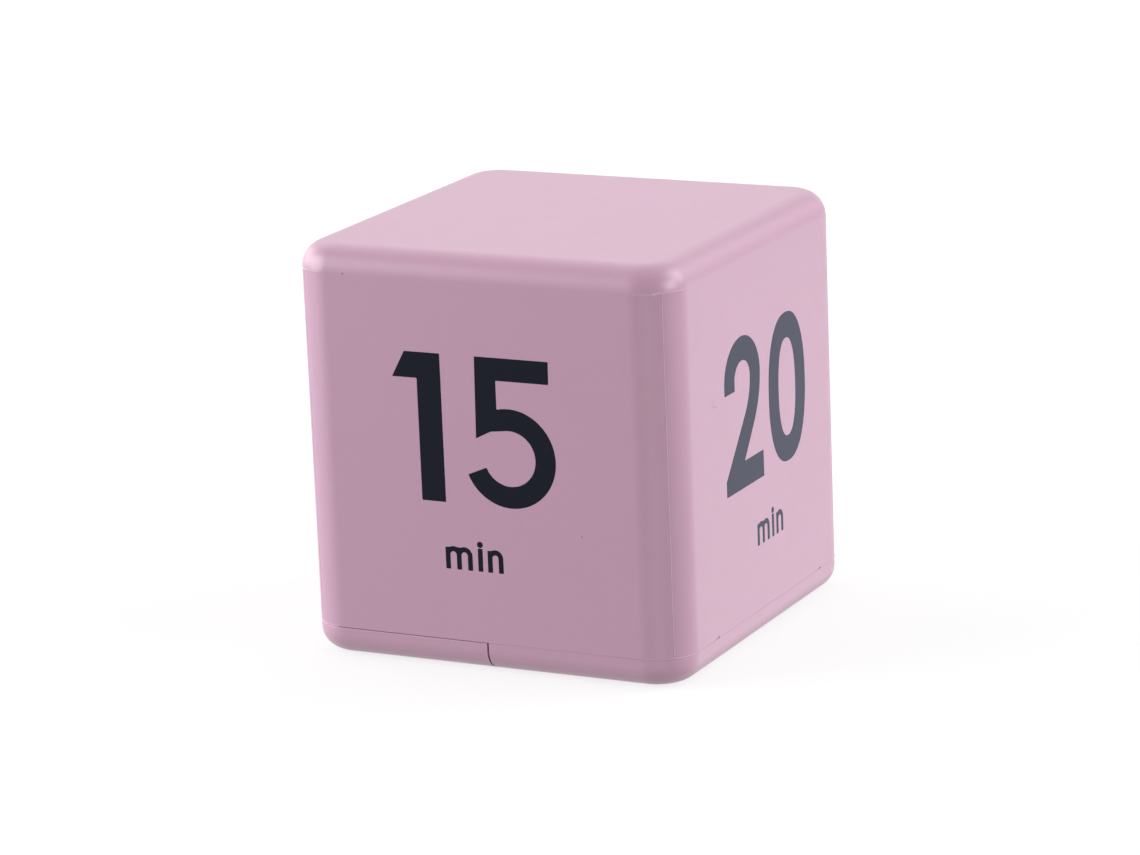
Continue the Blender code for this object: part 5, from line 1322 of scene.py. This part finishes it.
# Each outline as radii less than the cell's and heights from its foot, in millimetres
TOP_MM = CELL_BODY / MM
FILM = [(0.8, 0.05), (0.3, 0), (0.08, 0.1), (0, 0.35), (0, TOP_MM - 0.4), (0.1, TOP_MM - 0.1), (0.4, TOP_MM)]
FILM += [(1, TOP_MM - 0.05), (1, TOP_MM - 0.3), (0.8, 0.3)]
BAND = [(0.1, TOP_MM - 9), (-0.015, TOP_MM - 9), (-0.015, TOP_MM - 0.45), (0.1, TOP_MM - 0.45)]
# Printed plastic film: satin, with the ink's faint drift and the can's slight waviness under it
FILMED = {"IOR": 1.5, "Coat Weight": 0.4, "Coat Roughness": 0.15}
film_blue = finish("printed_cell_film", "3E6480", FILMED, 0.05, 7, (0.26, 0.36), 2, 6)
# Metallic ink on the film: silver, with a soft gloss
film_band = finish("silver_printed_band", "AEB2B4", {"Metallic": 0.8}, 0.04, 4, (0.28, 0.38), 1, 3)
foot_end = [(1.1, 0.12), (0.7, 0.25), (0.7, 0.6)]
head_end = [(0.9, TOP_MM - 0.6), (0.9, TOP_MM - 0.2)]


def round_cell(shares):
    """An outline's radii and heights in metres."""
    return [(CELL_R - inset * MM, rise * MM) for inset, rise in shares]


nub = [(NUB_R + 0.3 * MM, CELL_BODY - 0.2 * MM), (NUB_R, CELL_BODY), (NUB_R, CELL_BODY + NUB_H - 0.2 * MM)]
nub += [(NUB_R - 0.2 * MM, CELL_BODY + NUB_H), (0, CELL_BODY + NUB_H)]
foot_can = [(0, 0.12 * MM), *round_cell(foot_end), (0, 0.6 * MM)]
head_can = [(0, CELL_BODY - 0.6 * MM), *round_cell(head_end), *nub]
for n, (x, towards) in enumerate(zip(CELL_X, (-1, 1)), 1):
    low, high = CELLS[n - 1]
    lay = shift(x, high.y if towards < 0 else low.y, CELL_Z) @ swing(-90 * towards, "X")
    sleeve = placed(turned(round_cell(FILM), 96), lay)
    dress(sleeve, f"cell_sleeve_{n}", film_blue, f"battery_cell_{n}")
    ends = joined([turned(foot_can, 64), turned(head_can, 64)])
    dress(placed(ends, lay), f"cell_ends_{n}", nickel)
    dress(placed(turned(round_cell(BAND), 96), lay), f"cell_band_{n}", film_band)

# Lead wires: stranded copper in extruded red and black PVC. Each is soldered at one end to a contact tab or
# the buzzer, and at the other to the board.
WIRE_R = 0.5 * MM
WIRE_ARCH = 6.0 * MM
WIRE_STUB = 1.5 * MM
SOLDER_R = 0.75 * MM
LAYER_X = BAY_X + 4.25 * MM
DISC_RIM_R = 10.25 * MM
SLANT = math.radians(-35)
# Extruded PVC: smooth and softly glossy
PVC = {
    colour: finish(f"{colour}_pvc_wire", code, {"IOR": 1.53}, spread, 3, (0.3, 0.42), 0.4, 2)
    for colour, code, spread in (("red", "A8262A", 0.05), ("black", "17171A", 0.08))
}
# Lead-free solder: bright but frosted where it set, in small cones
solder = finish("frosted_tin_solder", "BFC0C0", METAL, 0.06, 0.8, (0.28, 0.45), 0.25, 10)
CONE = [(0, 0), (SOLDER_R, 0), (SOLDER_R * 0.75, 0.25 * MM), (WIRE_R * 0.9, 0.6 * MM), (0, 0.7 * MM)]
layer_top, disc_top = (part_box(node)[1].z + GAP for node in ("buzzer_ceramic", "buzzer_disc"))
tab_y = -BAY_HALF[1] + GAP + PLATE_T / 2
STARTS = {
    "battery_wire_red": (CELL_X[0], tab_y, TAB_TOP + GAP),
    "battery_wire_black": (CELL_X[1], tab_y, TAB_TOP + GAP),
    "buzzer_wire_red": (LAYER_X, 0, layer_top),
    "buzzer_wire_black": (BAY_X + DISC_RIM_R * math.cos(SLANT), DISC_RIM_R * math.sin(SLANT), disc_top),
}
blobs = []
for (node, start), pad in zip(STARTS.items(), WIRE_PADS):
    start, end, stub = Vector(start), Vector((*pad, BOARD_TOP + GAP)), Vector((0, 0, WIRE_STUB))
    crest = start.z + WIRE_ARCH
    first, last = start.lerp(end, 0.3), start.lerp(end, 0.85)
    route = [start, start + stub, (*first.xy, crest), (*last.xy, crest - WIRE_STUB)]
    route += [(end.x, end.y, (crest + end.z) / 2), end + stub, end]
    colour = node.split("_")[-1]
    lead = tube(flowing(route), WIRE_R, 4)
    dress(lead, node.replace("wire", "lead"), PVC[colour], node)
    for spot, low_z in ((end, BOARD_TOP), (start, start.z - GAP)):
        blobs.append(placed(turned(CONE, 24), shift(spot.x, spot.y, low_z)))
dress(joined(blobs), "solder_joints", solder)

# Studio: a plain pale floor, a white room round it and soft round lamps on both sides and behind
ROOM_SIZE = 4.0
FLOOR_SHARE = 0.28
FLOOR_GLOW = 0.74
ROOM_LOW = 0.38
ROOM_HIGH = 0.34
HORIZON = 0.1
LAMP_DISTANCE = 1.2
# Each lamp's heading and rise in degrees, its power and its width
LAMPS = {
    "right": (128, 34, 7.2, 0.9),
    "side": (90, 15, 5.9, 0.6),
    "left": (299, 18, 14.8, 1.1),
    "far_left": (256, 15, 4.0, 0.8),
    "high_back": (212, 50, 3.0, 1.4),
    "low_front": (27, -20, 0.9, 0.6),
    "low_right": (153, -20, 0.7, 0.6),
}


def heading_to(turn, rise):
    """The way to a place at a heading and a rise in degrees."""
    turn, rise = math.radians(turn), math.radians(rise)
    return Vector((math.sin(turn) * math.cos(rise), -math.cos(turn) * math.cos(rise), math.sin(rise)))


shape = bmesh.new()
bmesh.ops.create_grid(shape, x_segments=1, y_segments=1, size=ROOM_SIZE)
floor = solid(shape, "floor")
floor_paint = bpy.data.materials.new("pale_floor_paint")
floor_paint.use_nodes = True
tree = floor_paint.node_tree
tree.nodes.clear()
# The floor shows to the camera from above only, so the room also lights the cube's underside
path = add(tree, "ShaderNodeLightPath").outputs
under = add(tree, "ShaderNodeNewGeometry").outputs["Backfacing"]
front = add(tree, "ShaderNodeMath", {0: 1.0, 1: under}, operation="SUBTRACT").outputs[0]
visible = add(tree, "ShaderNodeMath", {0: path["Is Camera Ray"], 1: front}, operation="MULTIPLY").outputs[0]
matt = add(tree, "ShaderNodeBsdfDiffuse", {"Color": (FLOOR_SHARE, FLOOR_SHARE, FLOOR_SHARE, 1)}).outputs[0]
glow = add(tree, "ShaderNodeEmission", {"Strength": FLOOR_GLOW}).outputs[0]
both = add(tree, "ShaderNodeAddShader", {0: matt, 1: glow}).outputs[0]
clear = add(tree, "ShaderNodeBsdfTransparent").outputs[0]
shown = add(tree, "ShaderNodeMixShader", {0: visible, 1: clear, 2: both}).outputs[0]
add(tree, "ShaderNodeOutputMaterial", {"Surface": shown})
floor.data.materials.append(floor_paint)
floor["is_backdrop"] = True

room = bpy.data.worlds.new("white_room")
bpy.context.scene.world = room
room.use_nodes = True
tree = room.node_tree
tree.nodes.clear()
path = add(tree, "ShaderNodeLightPath").outputs
seen = {0: path["Is Camera Ray"], 1: path["Is Glossy Ray"]}
seen = {0: add(tree, "ShaderNodeMath", seen, operation="ADD").outputs[0], 1: path["Is Transmission Ray"]}
seen = add(tree, "ShaderNodeMath", seen, operation="ADD", use_clamp=True).outputs[0]
# The room's lower half sends back a little more light than its upper half
way = add(tree, "ShaderNodeSeparateXYZ", {"Vector": add(tree, "ShaderNodeTexCoord").outputs["Generated"]})
ends = {"From Min": -HORIZON, "From Max": HORIZON, "To Min": ROOM_LOW, "To Max": ROOM_HIGH}
tone = add(tree, "ShaderNodeMapRange", {"Value": way.outputs["Z"], **ends}).outputs["Result"]
level = add(tree, "ShaderNodeMapRange", {"Value": seen, "To Min": tone, "To Max": 1.0}).outputs["Result"]
light = add(tree, "ShaderNodeBackground", {"Color": (1, 1, 1, 1), "Strength": level})
add(tree, "ShaderNodeOutputWorld", {"Surface": light.outputs[0]})

for name, (turn, rise, power, size) in LAMPS.items():
    way = heading_to(turn, rise)
    lamp = bpy.data.lights.new(name, "AREA")
    lamp.shape = "DISK"
    lamp.size = size
    lamp.energy = power
    held = bpy.data.objects.new(name, lamp)
    facing = way.to_track_quat("Z", "Y").to_matrix().to_4x4()
    held.matrix_world = Matrix.Translation(Vector((0, 0, TOP / 2)) + way * LAMP_DISTANCE) @ facing
    bpy.context.scene.collection.objects.link(held)

# Camera, where the photograph was taken from
AZIMUTH = 26.776
ELEVATION = 14.617
ROLL = math.radians(-2.316)
DISTANCE = 690.5 * MM
AIM = Vector((0, 0, 31.75 * MM))
ASIDE = -0.880 * MM
RISE = -1.382 * MM
LENS = 140.376
SENSOR = 36

back = heading_to(AZIMUTH, ELEVATION)
right = Vector((math.cos(math.radians(AZIMUTH)), math.sin(math.radians(AZIMUTH)), 0))
up = back.cross(right)
lens = bpy.data.cameras.new("camera")
lens.lens = LENS
lens.sensor_width = SENSOR
camera = bpy.data.objects.new("camera", lens)
bpy.context.scene.collection.objects.link(camera)
axes = Matrix((right, up, back)).transposed() @ Matrix.Rotation(ROLL, 3, "Z")
camera.matrix_world = Matrix.Translation(AIM + back * DISTANCE + right * ASIDE + up * RISE) @ axes.to_4x4()
bpy.context.scene.camera = camera
bpy.context.scene.view_settings.view_transform = "Standard"

low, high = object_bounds()
